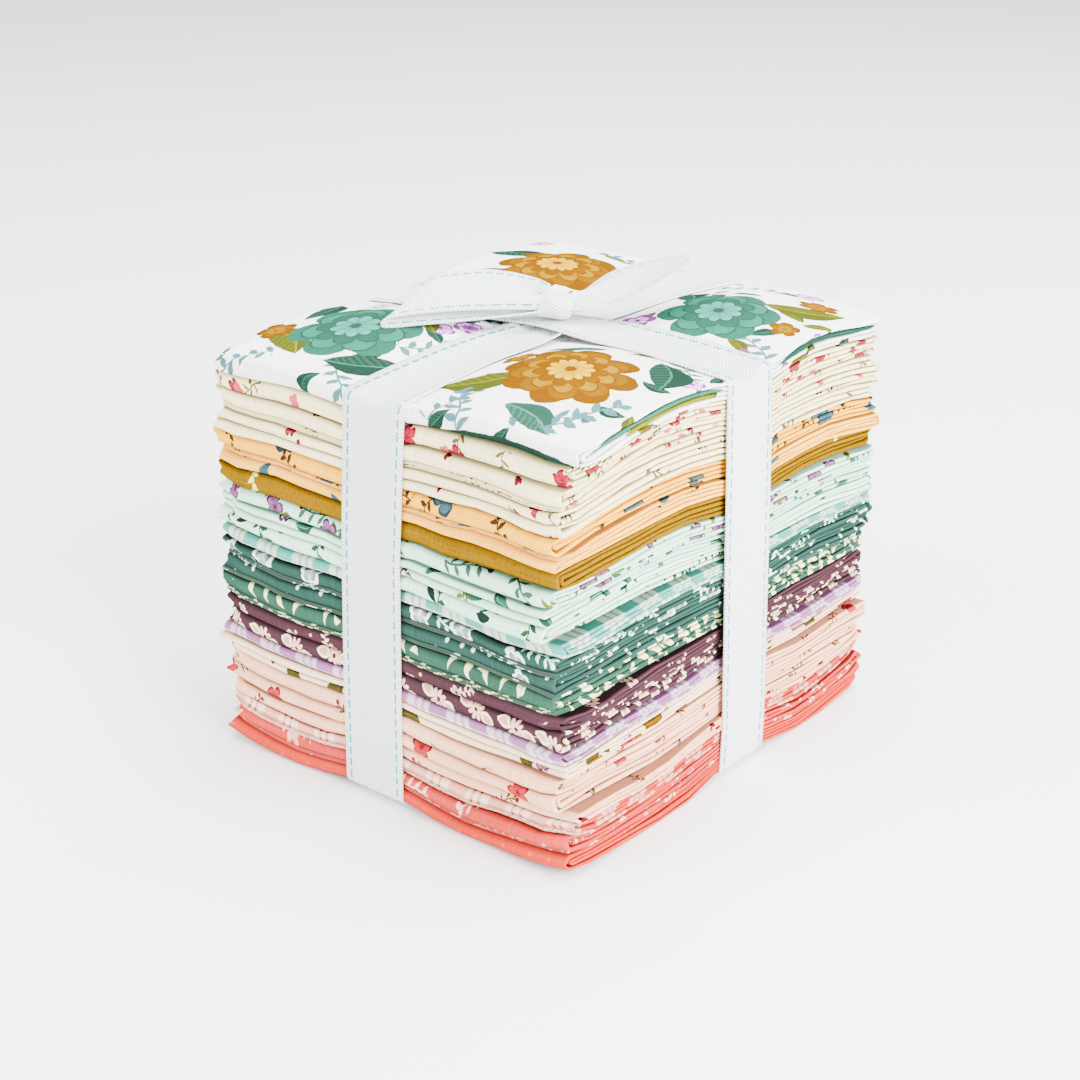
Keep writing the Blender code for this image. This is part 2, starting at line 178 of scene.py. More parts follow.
CLOTHS = (
    Cloth("fq01_large_floral", 1.00, Fold.BOOK, -1, False, 0.8, 0.4, 1.4),
    Cloth("fq02_cream_posy", 1.00, Fold.BOOK, -1, True, 0.2, 0.2, 0.0),
    Cloth("fq03_cream_sprig", 1.20, Fold.ROLL, 1, False, -0.2, -0.2, -0.8),
    Cloth("fq04_cream_bud", 1.30, Fold.ACCORDION, -1, False, -0.3, -0.5, -0.7),
    Cloth("fq05_peach_leaf", 1.00, Fold.BOOK, -1, False, -1.0, -0.4, -1.6),
    Cloth("fq06_peach_branch", 0.85, Fold.ROLL, 1, True, 0.1, -0.5, -1.5),
    Cloth("fq07_mustard", 1.10, Fold.BOOK, -1, True, -0.6, -0.6, -0.6),
    Cloth("fq08_mint_blossom", 0.95, Fold.BOOK, -1, False, 0.0, -0.9, -2.1),
    Cloth("fq09_mint_leaf", 0.95, Fold.ACCORDION, -1, False, -1.3, -1.1, -2.1),
    Cloth("fq10_mint_stem", 0.95, Fold.BOOK, -1, True, -1.5, -0.9, -2.6),
    Cloth("fq11_aqua_plaid", 0.75, Fold.BOOK, -1, False, 0.3, -0.2, -1.0),
    Cloth("fq12_teal_flower", 1.05, Fold.ROLL, 1, False, -0.6, -0.9, -1.1),
    Cloth("fq13_teal_cluster", 1.05, Fold.ROLL, 1, False, -1.1, -0.8, -1.0),
    Cloth("fq14_green_vine", 1.25, Fold.ROLL, 1, False, -2.0, -1.0, -0.4),
    Cloth("fq15_plum_dot", 0.80, Fold.BOOK, -1, True, -1.2, -1.0, 0.5),
    Cloth("fq16_plum_medallion", 1.05, Fold.BOOK, -1, False, -1.9, -0.8, 0.5),
    Cloth("fq17_lilac_plaid", 0.75, Fold.BOOK, -1, False, -0.8, -1.0, 0.3),
    Cloth("fq18_blush_floral", 0.90, Fold.ACCORDION, -1, True, -1.2, -0.5, 1.1),
    Cloth("fq19_pink_plain", 1.10, Fold.ROLL, -1, False, -0.3, -0.8, -1.1),
    Cloth("fq20_pink_rose", 0.85, Fold.BOOK, -1, True, -0.7, -0.6, -1.0),
    Cloth("fq21_pink_bud", 0.80, Fold.BOOK, -1, False, 1.0, 0.2, 1.7),
    Cloth("fq22_coral_plaid", 0.95, Fold.ROLL, 1, False, 0.2, 0.2, 1.8),
    Cloth("fq23_coral_sprig", 1.10, Fold.ROLL, 1, False, 0.5, 0.1, 0.6),
    Cloth("fq24_coral_plain", 0.85, Fold.BOOK, -1, True, 0.2, -0.1, 0.5),
)

TOP_LOOKS = tuple(f"large_floral_{letter}" for letter in "abcd")
WHITE = "#F3F3F0"
CREAM = "#F3E5B2"
PLUM = "#442C33"
BLUSH = "#F3B897"
DEEP_TEAL = "#2B4840"
MINT = "#B9E7CC"
WINE = "#7B1126"
SHELL = "#F3C4AE"
GOLD_VEIN = "#693A01"
LILAC_VEIN = "#4F2956"
TEAL_VEIN = "#204136"
BLUE_GREY = "#456E74"


def bloom(
    x: float, y: float, size: float, rings: tuple[str, ...], vein: str, petals: float
) -> tuple[Layer, ...]:
    """Layers of one large open flower on the top cloth, from its outer petals inwards.

    Args:
        x, y: place on the top of the bundle, in millimetres.
        size: width of the flower in millimetres.
        rings: colours from the outer petals to the heart.
        vein: colour of the streaks in the petals and of the shade under each ring.
        petals: number of outer petals.

    Returns:
        The layers, largest first.
    """
    narrowing, ring_turn, shade_width = 0.82, 0.9, 0.035
    made = []
    for index, colour in enumerate(rings):
        share = 1 - narrowing * index / len(rings)
        at = {"place": top_place(x, y), "angle": ring_turn * index + x, "petals": petals + index}
        if index:
            shade = size * (share + shade_width) * MM
            made.append(Layer(Motif.FLOWER, vein, shade, depth=0.3, **at))
        made.append(Layer(Motif.FLOWER, colour, size * share * MM, accent=vein, depth=0.34, **at))
    return tuple(made)


def spray(x: float, y: float, size: float, colour: str, angle: float) -> Layer:
    """A leafy sprig at a place on the top cloth; millimetres and radians."""
    return Layer(Motif.SPRIG, colour, size * MM, slim=0.42, angle=angle, place=top_place(x, y))


def blade(x: float, y: float, size: float, colour: str, vein: str, angle: float) -> Layer:
    """A broad leaf at a place on the top cloth; millimetres and radians.

    Args:
        x, y: place on the top of the bundle, in millimetres.
        size: length of the leaf in millimetres.
        colour, vein: colours of the blade and of its veins.
        angle: turn of the leaf in radians.

    Returns:
        The leaf.
    """
    return Layer(
        Motif.LEAF, colour, size * MM, accent=vein, slim=0.46, angle=angle, place=top_place(x, y)
    )


def posy(colour: str, edge: str, size: float, spacing: float, **more: float) -> tuple[Layer, ...]:
    """A scattered open flower: dark edge, petals and heart.

    Args:
        colour, edge: colours of the petals and of the edge round them.
        size: width with the edge, in metres.
        spacing: distance between the scattered places, in metres.
        more: further fields of both layers.

    Returns:
        The edge's layer and the petals' layer.
    """
    petals_share = 0.8
    return (
        Layer(Motif.FLOWER, edge, size, spacing, **more),
        Layer(Motif.FLOWER, colour, size * petals_share, spacing, accent=edge, **more),
    )


def top_place(x: float, y: float) -> tuple[float, float]:
    """Place on the flat cloth of a spot on the top of the first folded piece.

    Args:
        x, y: the spot in millimetres from the middle of the stack.

    Returns:
        The flat cloth's coordinates in metres.
    """
    path_x = FoldLine(Fold.BOOK.value, 1, PIECE_WIDTH / 2, PLY_PITCH, PLY_FOLDS)
    path_y = FoldLine(Fold.BOOK.value, -1, PIECE_DEPTH / 2, PACKET_PITCH, PACKET_FOLDS)
    return path_x.flat_at(3, x * MM), path_y.flat_at(2, y * MM)


@dataclass(frozen=True)
class FoldSizes:
    """How far folds stand out by the levels that they span, and how far nested ones lie in."""

    small: float
    wrapped: float
    outer: float
    inset: float

    def reach(self, span: int) -> float:
        """Distance by which a fold over this many levels stands out from its runs."""
        return {1: self.small, 2: self.wrapped, 3: self.outer}[span]


PACKET_PITCH = PIECE_HEIGHT / RUNS
PACKET_FOLDS = FoldSizes(1.0 * MM, 1.6 * MM, 2.1 * MM, 1.1 * MM)
PLY_FOLDS = FoldSizes(0.3 * MM, 0.45 * MM, 0.6 * MM, 0.35 * MM)


@dataclass(frozen=True)
class FoldLine:
    """The line that a sheet follows through four runs and three folds, seen from its side.

    levels is the level of each run, from the bottom, in the order of travel; side is the side of
    the first and third folds, 1 or -1; half is the distance from the middle to the outside of the
    folds and pitch the height of a level, both in metres; sizes says how far the folds stand out.
    Under 1, nose makes the folds blunt, as pressed; end_crease_shade is the painted crease shade
    given to each cut end.
    """

    levels: tuple[int, ...]
    side: int
    half: float
    pitch: float
    sizes: FoldSizes
    nose: float = 0.75
    end_crease_shade: float = 0.2

    def fold_start(self, first: int) -> float:
        """Distance from the middle at which the fold after a run starts.

        Args:
            first: the run before the fold.

        Returns:
            The distance in metres, shorter where the fold lies inside another.
        """
        low, high = sorted(self.levels[first : first + 2])
        start = self.half - self.sizes.reach(high - low)
        other = {0: 2, 2: 0}.get(first)
        if other is not None:
            outer = sorted(self.levels[other : other + 2])
            if outer[0] < low and high < outer[1]:
                start = self.half - self.sizes.outer - self.sizes.inset
        return start

    def free_end(self, run: int) -> float:
        """Distance from the middle at which a free end lies.

        Args:
            run: the first or the last run.

        Returns:
            The distance in metres, shorter where a fold wraps the end.
        """
        low, high = sorted(self.levels[1:3])
        if low < self.levels[run] < high:
            return self.half - self.sizes.wrapped - self.sizes.inset / 2
        return self.half - self.sizes.small

    def run_span(self, run: int) -> tuple[float, float]:
        """Signed places where a run starts and ends, in the direction of travel.

        Args:
            run: the run.

        Returns:
            The two places in metres.
        """
        towards = self.side if run % 2 == 0 else -self.side
        start = self.free_end(0) if run == 0 else self.fold_start(run - 1)
        end = self.free_end(run) if run == RUNS - 1 else self.fold_start(run)
        return -towards * start, towards * end

    def height(self, run: int) -> float:
        """Height of a run's middle line, in metres."""
        return (self.levels[run] + 0.5) * self.pitch

    def sample(self, run_steps: int, fold_steps: int) -> dict[str, np.ndarray]:
        """Points along the line.

        Args:
            run_steps: segments in each run.
            fold_steps: segments in each fold.

        Returns:
            Arrays by name: place, height, the normal's two parts, flat length along the sheet, and
                the
            painted crease shade of each point, whole on the runs and fading to none at a fold's
            nose.
        """
        places: list[float] = []
        heights: list[float] = []
        # Painted crease shade: whole along the runs, which lie in between other layers, none at a
        # fold's nose and some at the cut ends
        crease_shades: list[float] = []
        for run in range(RUNS):
            start, end = self.run_span(run)
            for step in range(run_steps + 1):
                share = 0.5 - 0.5 * math.cos(math.pi * step / run_steps)
                share = 0.5 * share + 0.5 * step / run_steps
                places.append(start + (end - start) * share)
                heights.append(self.height(run))
                crease_shades.append(1.0)
            if run == RUNS - 1:
                break
            towards = math.copysign(1.0, end - start)
            low, high = self.height(run), self.height(run + 1)
            span = abs(self.levels[run + 1] - self.levels[run])
            reach = max(self.sizes.reach(span) - self.pitch / 2, 0.35 * self.pitch)
            for step in range(1, fold_steps):
                angle = math.pi * step / fold_steps
                places.append(end + towards * reach * math.sin(angle) ** self.nose)
                heights.append((low + high) / 2 - math.cos(angle) * (high - low) / 2)
                crease_shades.append((1 - math.sin(angle)) ** 1.5)
        crease_shades[0] = crease_shades[-1] = self.end_crease_shade
        place, height = np.array(places), np.array(heights)
        ahead_place, ahead_height = np.gradient(place), np.gradient(height)
        length = np.hypot(ahead_place, ahead_height)
        flat = np.concatenate([[0.0], np.cumsum(np.hypot(np.diff(place), np.diff(height)))])
        return {
            "place": place,
            "height": height,
            "normal_place": -ahead_height / length,
            "normal_height": ahead_place / length,
            "flat": flat,
            "crease_shade": np.array(crease_shades),
        }

    def flat_at(self, run: int, place: float) -> float:
        """Flat length along the sheet at a place on one of its runs.

        Args:
            run: the run.
            place: signed distance from the middle, in metres.

        Returns:
            The length in metres from the sheet's first end.
        """
        steps, turns = 8, 8
        points = self.sample(steps, turns)
        first = run * (steps + turns)
        start, end = points["place"][first], points["place"][first + steps]
        share = (place - start) / (end - start)
        flat = points["flat"]
        return float(flat[first] * (1 - share) + flat[first + steps] * share)


class Ripple:
    """Smooth seeded unevenness: a few sine waves in three directions."""

    def __init__(self, seed: int, lengths: tuple[float, float, float], waves: int = 7) -> None:
        """Draws the waves.

        Args:
            seed: seed of the drawing.
            lengths: wavelengths along X, Y and Z, in metres.
            waves: number of waves.
        """
        source = np.random.default_rng(seed)
        self.vectors = source.normal(size=(waves, 3)) * 2 * math.pi / np.array(lengths)
        self.phases = source.uniform(0, 2 * math.pi, waves)

    def __call__(self, x: np.ndarray, y: np.ndarray, z: np.ndarray) -> np.ndarray:
        """The unevenness at places, from about -1 to 1.

        Args:
            x, y, z: coordinates of the places, in metres.

        Returns:
            The unevenness at each place.
        """
        total = np.zeros_like(x)
        for (along_x, along_y, along_z), phase in zip(self.vectors, self.phases):
            total += np.sin(along_x * x + along_y * y + along_z * z + phase)
        return total / math.sqrt(len(self.phases))


def smooth_step(value: np.ndarray, low: float, high: float) -> np.ndarray:
    """Rises smoothly from 0 at low to 1 at high."""
    share = np.clip((value - low) / (high - low), 0.0, 1.0)
    return share * share * (3 - 2 * share)


@dataclass(frozen=True)
class Lean:
    """How a hand-tied band drifts sideways on one side of the stack.

    side is 1 or -1, half the distance from the middle to that side, and top and foot the drift at
    the upper and the lower edge there, all in metres.
    """

    side: int
    half: float
    top: float
    foot: float

    def __call__(self, along: np.ndarray, height: np.ndarray) -> np.ndarray:
        """The drift at places along the band and at their heights.

        Args:
            along: places along the band, in metres from the middle.
            height: heights of the places, in metres.

        Returns:
            The drift at each place, in metres.
        """
        share = np.clip(self.side * along / self.half, 0.0, 1.0)
        fallen = np.clip(1 - height / CORNER_TOP, 0.0, 1.0)
        return share * (self.top + (self.foot - self.top) * fallen)


@dataclass(frozen=True)
class Course:
    """The way that a band takes round the stack.

    across and along are the numbers of the axes over its width and along its run, and half is the
    distance in metres from the middle to where it turns down.
    """

    name: str
    node: str
    across: int
    along: int
    half: float
    lean: Lean

    @property
    def round_trip(self) -> float:
        """Length once round the stack, in metres."""
        return 2 * (2 * self.half + CORNER_TOP)


LONG = Course(
    "tape_long_band", "ribbon_long_band", 0, 1, PIECE_DEPTH / 2,
    Lean(-1, PIECE_DEPTH / 2, 0.0, -3.8 * MM),
)
CROSS = Course(
    "tape_cross_band", "ribbon_cross_band", 1, 0, PIECE_WIDTH / 2,
    Lean(1, PIECE_WIDTH / 2, 2.4 * MM, 6.0 * MM),
)


@dataclass
class Drape:
    """The soft puffs of the tied stack: heights of its levels and the slips of its edges.

    Beside the ribbon, at trench_edge, the cloth has risen by trench_rise of the way to the next
    knot. The unevenness of the underside dies away upwards by the power base_fade. sway and fine
    are the heights of the waves, slip_x and slip_y how far the edges wander, tied_in how far the
    ribbon pulls them in, and corner_in and corner_spread how much the corners are rounded off, all
    in millimetres. The ranges that follow, in metres, say where each of these begins and is whole.
    Of the last press_depth before a side, the share press is pressed away.
    """

    trench_edge: float = 11.0
    trench_rise: float = 0.55
    base_fade: float = 2.2
    sway: float = 0.42
    fine: float = 0.12
    slip_x: float = 0.55
    slip_y: float = 0.42
    tied_in: float = 0.35
    corner_in: float = 1.5
    corner_spread: float = 1.0
    free_x: float = 0.02
    free_y: float = 0.025
    tied_range: tuple[float, float] = (0.012, 0.027)
    corner_range: tuple[float, float] = (-0.009, 0.001)
    long_range: tuple[float, float] = (0.022, 0.05)
    cross_range: tuple[float, float] = (0.022, 0.055)
    press: float = 0.34
    press_depth: float = 1.1 * MM

    def __post_init__(self) -> None:
        """Refines the tables of lifts and draws the ripples."""
        self.knots_x = self.closer(np.eye(len(KNOTS_X)), KNOTS_X)[0]
        self.knots_y = self.closer(np.eye(len(KNOTS_Y)), KNOTS_Y)[0]
        self.top = self.tables(TOP_LIFT)
        self.base = self.tables(BASE_LIFT)
        self.swaying = Ripple(3, (0.075, 0.085, 0.03))
        self.fineness = Ripple(5, (0.03, 0.034, 0.012))
        self.edge_x = Ripple(11, (0.06, 0.07, 0.003))
        self.edge_y = Ripple(17, (0.06, 0.07, 0.0042))
        self.corner = Ripple(23, (0.3, 0.3, 0.008))

    def closer(
        self, rows: np.ndarray, knots: tuple[float, ...]
    ) -> tuple[np.ndarray, np.ndarray]:
        """Adds one more knot on each side of the ribbon.

        Args:
            rows: the rows of a table, one for each knot.
            knots: the knots in millimetres.

        Returns:
            The knots in metres, and the rows at them.
        """
        middle = len(knots) // 2
        one = rows[middle] + (rows[middle - 1] - rows[middle]) * self.trench_rise
        two = rows[middle] + (rows[middle + 1] - rows[middle]) * self.trench_rise
        more = np.insert(rows, [middle, middle + 1], [one, two], axis=0)
        edges = [-self.trench_edge, self.trench_edge]
        places = np.insert(np.array(knots), [middle, middle + 1], edges)
        return places * MM, more

    def tables(self, table: tuple[tuple[float, ...], ...]) -> np.ndarray:
        """A drape table in metres, with the closer knots both ways."""
        rows = self.closer(np.array(table), KNOTS_Y)[1]
        return self.closer(rows.T, KNOTS_X)[1].T * MM

    @staticmethod
    def weights(values: np.ndarray, knots: np.ndarray) -> np.ndarray:
        """Weight of each knot's height at each value, for a smooth curve through the knots.

        Args:
            values: places along the curve.
            knots: places of the knots, in order.

        Returns:
            A row of weights for each value.
        """
        count = len(knots)
        identity = np.eye(count)
        slopes = np.empty((count, count))
        slopes[1:-1] = (identity[2:] - identity[:-2]) / (knots[2:] - knots[:-2])[:, None]
        slopes[0] = (identity[1] - identity[0]) / (knots[1] - knots[0])
        slopes[-1] = (identity[-1] - identity[-2]) / (knots[-1] - knots[-2])
        inside = np.clip(values, knots[0], knots[-1])
        index = np.clip(np.searchsorted(knots, inside) - 1, 0, count - 2)
        width = (knots[index + 1] - knots[index])[:, None]
        t = ((inside - knots[index]) / width[:, 0])[:, None]
        made = (2 * t**3 - 3 * t**2 + 1) * identity[index]
        made += (t**3 - 2 * t**2 + t) * width * slopes[index]
        made += (3 * t**2 - 2 * t**3) * identity[index + 1]
        made += (t**3 - t**2) * width * slopes[index + 1]
        beyond = (values - inside)[:, None]
        return made + beyond * np.where(beyond < 0, slopes[0], slopes[-1])

    def levels(self, x: np.ndarray, y: np.ndarray) -> tuple[np.ndarray, np.ndarray]:
        """Heights of the stack's underside and of its top at places.

        Args:
            x, y: flat places in metres.

        Returns:
            The two heights at each place, in metres.
        """
        across = self.weights(x, self.knots_x)
        along = self.weights(y, self.knots_y)
        base = np.einsum("ni,nj,ji->n", across, along, self.base)
        top = np.einsum("ni,nj,ji->n", across, along, self.top)
        return np.maximum(base, 0.0), CORNER_TOP + top

    def settle(self, x: np.ndarray, y: np.ndarray, share: np.ndarray) -> np.ndarray:
        """Places in the tied stack of points given by flat place and share of its height.

        Args:
            x, y: flat places in metres.
            share: share of the stack's height under each point.

        Returns:
            An array of points.
        """
        from_long, from_cross = self.from_bands(x, y, share * CORNER_TOP)
        base, top = self.levels(from_long, from_cross)
        tall = share * top
        calm = np.clip(np.minimum(share, 1 - share) * 9, 0.0, 1.0)
        wave = self.sway * self.swaying(x, y, tall) + self.fine * self.fineness(x, y, tall)
        z = base * np.clip(1 - share, 0.0, 1.0) ** self.base_fade + tall + calm * wave * MM
        half_x, half_y = PIECE_WIDTH / 2, PIECE_DEPTH / 2
        away_x = smooth_step(np.abs(x), self.free_x, half_x)
        away_y = smooth_step(np.abs(y), self.free_y, half_y)
        tied_x = 1 - smooth_step(np.abs(from_cross), *self.tied_range)
        tied_y = 1 - smooth_step(np.abs(from_long), *self.tied_range)
        slip_x = self.slip_x * self.edge_x(x, y, tall) * (1 - tied_x) - self.tied_in * tied_x
        slip_y = self.slip_y * self.edge_y(x, y, tall) * (1 - tied_y) - self.tied_in * tied_y
        near_x = smooth_step(np.abs(x), *(half_x + edge for edge in self.corner_range))
        near_y = smooth_step(np.abs(y), *(half_y + edge for edge in self.corner_range))
        rounding = self.corner_in + self.corner_spread * self.corner(x, y, tall)
        round_off = near_x * near_y * rounding
        out_x = (away_x * slip_x - round_off) * MM * np.sign(x)
        out_y = (away_y * slip_y - round_off) * MM * np.sign(y)
        x, y = self.pressed(x, half_x), self.pressed(y, half_y)
        return np.stack([x + out_x, y + out_y, z], axis=-1)

    def from_bands(
        self, x: np.ndarray, y: np.ndarray, height: np.ndarray
    ) -> tuple[np.ndarray, np.ndarray]:
        """Flat places measured from the leaning bands near them, and from the middle far off.

        Args:
            x, y: flat places in metres.
            height: heights of the places, in metres.

        Returns:
            The places across the long band and across the cross band.
        """
        near_long = 1 - smooth_step(np.abs(x), *self.long_range)
        near_cross = 1 - smooth_step(np.abs(y), *self.cross_range)
        return x - LONG.lean(y, height) * near_long, y - CROSS.lean(x, height) * near_cross

    def pressed(self, value: np.ndarray, half: float) -> np.ndarray:
        """Flat places with the last millimetre before the stack's side pressed flat."""
        share = np.clip((np.abs(value) - half + self.press_depth) / self.press_depth, 0.0, 1.3)
        return value - np.sign(value) * self.press * share * share * self.press_depth


class MeshMaker:
    """Turns grids of points into shown pieces of the bundle."""

    def __init__(self, shift: Vector) -> None:
        """Makes the collection that holds the pieces.

        Args:
            shift: shift from the stack's own middle to the frame's origin, in metres.
        """
        self.shift = np.array(shift)
        self.collection = bpy.data.collections.new("fat_quarter_bundle_looks")
        bpy.context.scene.collection.children.link(self.collection)

    def surface(
        self,
        name: str,
        points: np.ndarray,
        flats: np.ndarray,
        closed: bool,
        flip: bool,
        crease_shade: np.ndarray | None = None,
    ) -> bpy.types.Object:
        """A sheet through a grid of points.

        Args:
            name: the piece's name.
            points: array of rows, columns and three coordinates, before the shift.
            flats: array of rows, columns and two flat coordinates, for the weave and print.
            closed: whether the first and last rows are joined.
            flip: whether the faces are turned round.
            crease_shade: painted crease shade at each point, from 0 to 1, which the cloth's
                material darkens by.

        Returns:
            The piece.
        """
        rows, columns = points.shape[:2]
        bm = bmesh.new()
        bmesh.ops.create_grid(bm, x_segments=rows - 1, y_segments=columns - 1, size=1.0)
        layer = bm.loops.layers.uv.new("cloth")
        # Point attribute that holds the painted crease shade
        depth = bm.verts.layers.float.new("crease_shade")
        places = {}
        for vert in bm.verts:
            row = round((vert.co.x + 1) / 2 * (rows - 1))
            column = round((vert.co.y + 1) / 2 * (columns - 1))
            places[vert] = flats[row, column]
            vert.co = points[row, column] + self.shift
            vert[depth] = 0.0 if crease_shade is None else crease_shade[row, column]
        for face in bm.faces:
            face.smooth = True
            for loop in face.loops:
                loop[layer].uv = places[loop.vert]
        if closed:
            edge_verts = [vert for vert in bm.verts if vert.is_boundary]
            bmesh.ops.remove_doubles(bm, verts=edge_verts, dist=1e-6)
        if flip:
            bmesh.ops.reverse_faces(bm, faces=bm.faces)
        mesh = bpy.data.meshes.new(name)
        bm.to_mesh(mesh)
        bm.free()
        made = bpy.data.objects.new(name, mesh)
        self.collection.objects.link(made)
        return made

    @staticmethod
    def thicken(made: bpy.types.Object, thickness: float, looks: tuple[str, ...]) -> None:
        """Gives a sheet its materials and its thickness.

        Args:
            made: the sheet.
            thickness: its thickness in metres.
            looks: names of its materials, by turns of the face and the back.
        """
        for look in looks:
            made.data.materials.append(bpy.data.materials[look])
        solid = made.modifiers.new("thickness", "SOLIDIFY")
        solid.thickness = thickness
        solid.offset = 0.0
        solid.material_offset = 1
        solid.material_offset_rim = 1


@dataclass
class Stack:
    """The twenty-four folded cloths.

    Each is cut width by length, which nothing uses, and is thick by ply_thickness, all in metres,
    with clearance left over and under the folded piece. runs and turns are the segments in each run
    and each fold of the two foldings. Of the stack's height, the top outside the range
    crease_shade_top_fade has no painted crease shade.
    """

    maker: MeshMaker
    drape: Drape
    width: float = 457.0 * MM
    length: float = 533.0 * MM
    ply_thickness: float = 0.2 * MM
    clearance: float = 0.05 * MM
    runs: tuple[int, int] = (15, 13)
    turns: tuple[int, int] = (6, 8)
    # Painted crease shade fades out over this range of the stack's height, so the top of the stack
    # has none
    crease_shade_top_fade: tuple[float, float] = (0.993, 0.998)
    top_detail: float = 1.9
    quick_detail: float = 0.6

    @staticmethod
    def shares() -> list[tuple[float, float]]:
        """Shares of the stack under the lower and the upper side of each cloth.

        Returns:
            The two shares of each cloth, from the top down.
        """
        whole = sum(cloth.weight for cloth in CLOTHS)
        made, above = [], 1.0
        for cloth in CLOTHS:
            below = above - cloth.weight / whole
            made.append((below, above))
            above = below
        return made

    def points(
        self, cloth: Cloth, shares: tuple[float, float], detail: float
    ) -> tuple[np.ndarray, np.ndarray, np.ndarray]:
        """The folded and draped cloth.

        Args:
            cloth: the cloth.
            shares: shares of the stack under its lower and its upper side.
            detail: how much finer than usual its runs are divided.

        Returns:
            Grids of points, of flat places and of the painted crease shade at each point.
        """
        levels = cloth.fold.value
        if cloth.upside_down:
            levels = tuple(RUNS - 1 - level for level in levels)
        line_x = FoldLine(Fold.BOOK.value, 1, PIECE_WIDTH / 2, PLY_PITCH, PLY_FOLDS)
        line_y = FoldLine(
            levels, cloth.closed_side, PIECE_DEPTH / 2, PACKET_PITCH, PACKET_FOLDS
        )
        across = line_x.sample(round(self.runs[0] * detail), self.turns[0])
        along = line_y.sample(round(self.runs[1] * detail), self.turns[1])
        ply = across["height"] - RUNS * PLY_PITCH / 2
        x = np.repeat(across["place"][:, None], len(along["place"]), axis=1)
        y = along["place"][None, :] + ply[:, None] * along["normal_place"][None, :]
        height = along["height"][None, :] + ply[:, None] * along["normal_height"][None, :]
        turn = math.radians(cloth.turn)
        new_x = x + cloth.shift_x * MM - turn * y
        new_y = y + cloth.shift_y * MM + turn * x
        spare = self.clearance / PIECE_HEIGHT
        part = spare + (1 - 2 * spare) * height / PIECE_HEIGHT
        share = shares[0] + (shares[1] - shares[0]) * part
        grid = self.drape.settle(new_x.ravel(), new_y.ravel(), share.ravel())
        flats = np.stack(np.meshgrid(across["flat"], along["flat"], indexing="ij"), axis=-1)
        # Painted crease shade of both foldings, faded out at the top of the stack
        crease_shade = across["crease_shade"][:, None] * along["crease_shade"][None, :]
        crease_shade = crease_shade * (1 - smooth_step(share, *self.crease_shade_top_fade))
        return grid.reshape(*x.shape, 3), flats, crease_shade

    def build(self) -> list[bpy.types.Object]:
        """Returns:
            The cloths, from the bottom up.
        """
        pieces: list[bpy.types.Object] = []
        for cloth, shares in reversed(list(zip(CLOTHS, self.shares()))):
            detail = 1.0 if cloth is not CLOTHS[0] else self.top_detail
            detail = detail
            points, flats, crease_shade = self.points(cloth, shares, detail)
            name = f"cloth_{cloth.name}"
            made = self.maker.surface(name, points, flats, False, self.faces_down(points), crease_shade)
            looks = TOP_LOOKS if cloth is CLOTHS[0] else (cloth.look,)
            sides = tuple(f"{look}_{side}" for look in looks for side in ("face", "back"))
            self.maker.thicken(made, self.ply_thickness, sides)
            if cloth is CLOTHS[0]:
                self.quarter(made.data)
            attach(made, "root")
            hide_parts(cloth.name)
            cloth.look
            pieces.append(made)
        return pieces

    @staticmethod
    def quarter(mesh: bpy.types.Mesh) -> None:
        """Gives each face of the top cloth the material of its quarter.

        Args:
            mesh: the top cloth's mesh.
        """
        flats = mesh.uv_layers["cloth"].data
        for face in mesh.polygons:
            face.material_index = 2 * quarter_of(tuple(flats[face.loop_start].uv))

    @staticmethod
    def faces_down(points: np.ndarray) -> bool:
        """Whether the face of the topmost ply looks down, so that the print has to be turned.

        Args:
            points: the grid of the cloth's points.

        Returns:
            True where it looks down.
        """
        near_middle = 0.06
        heights = points[1:-1, 1:-1, 2].copy()
        away = np.abs(points[1:-1, 1:-1, 0]) + np.abs(points[1:-1, 1:-1, 1])
        heights[away > near_middle] = -1.0
        row, column = np.unravel_index(np.argmax(heights), heights.shape)
        row, column = row + 1, column + 1
        one = points[row + 1, column] - points[row - 1, column]
        two = points[row, column + 1] - points[row, column - 1]
        return bool(np.cross(one, two)[2] < 0)


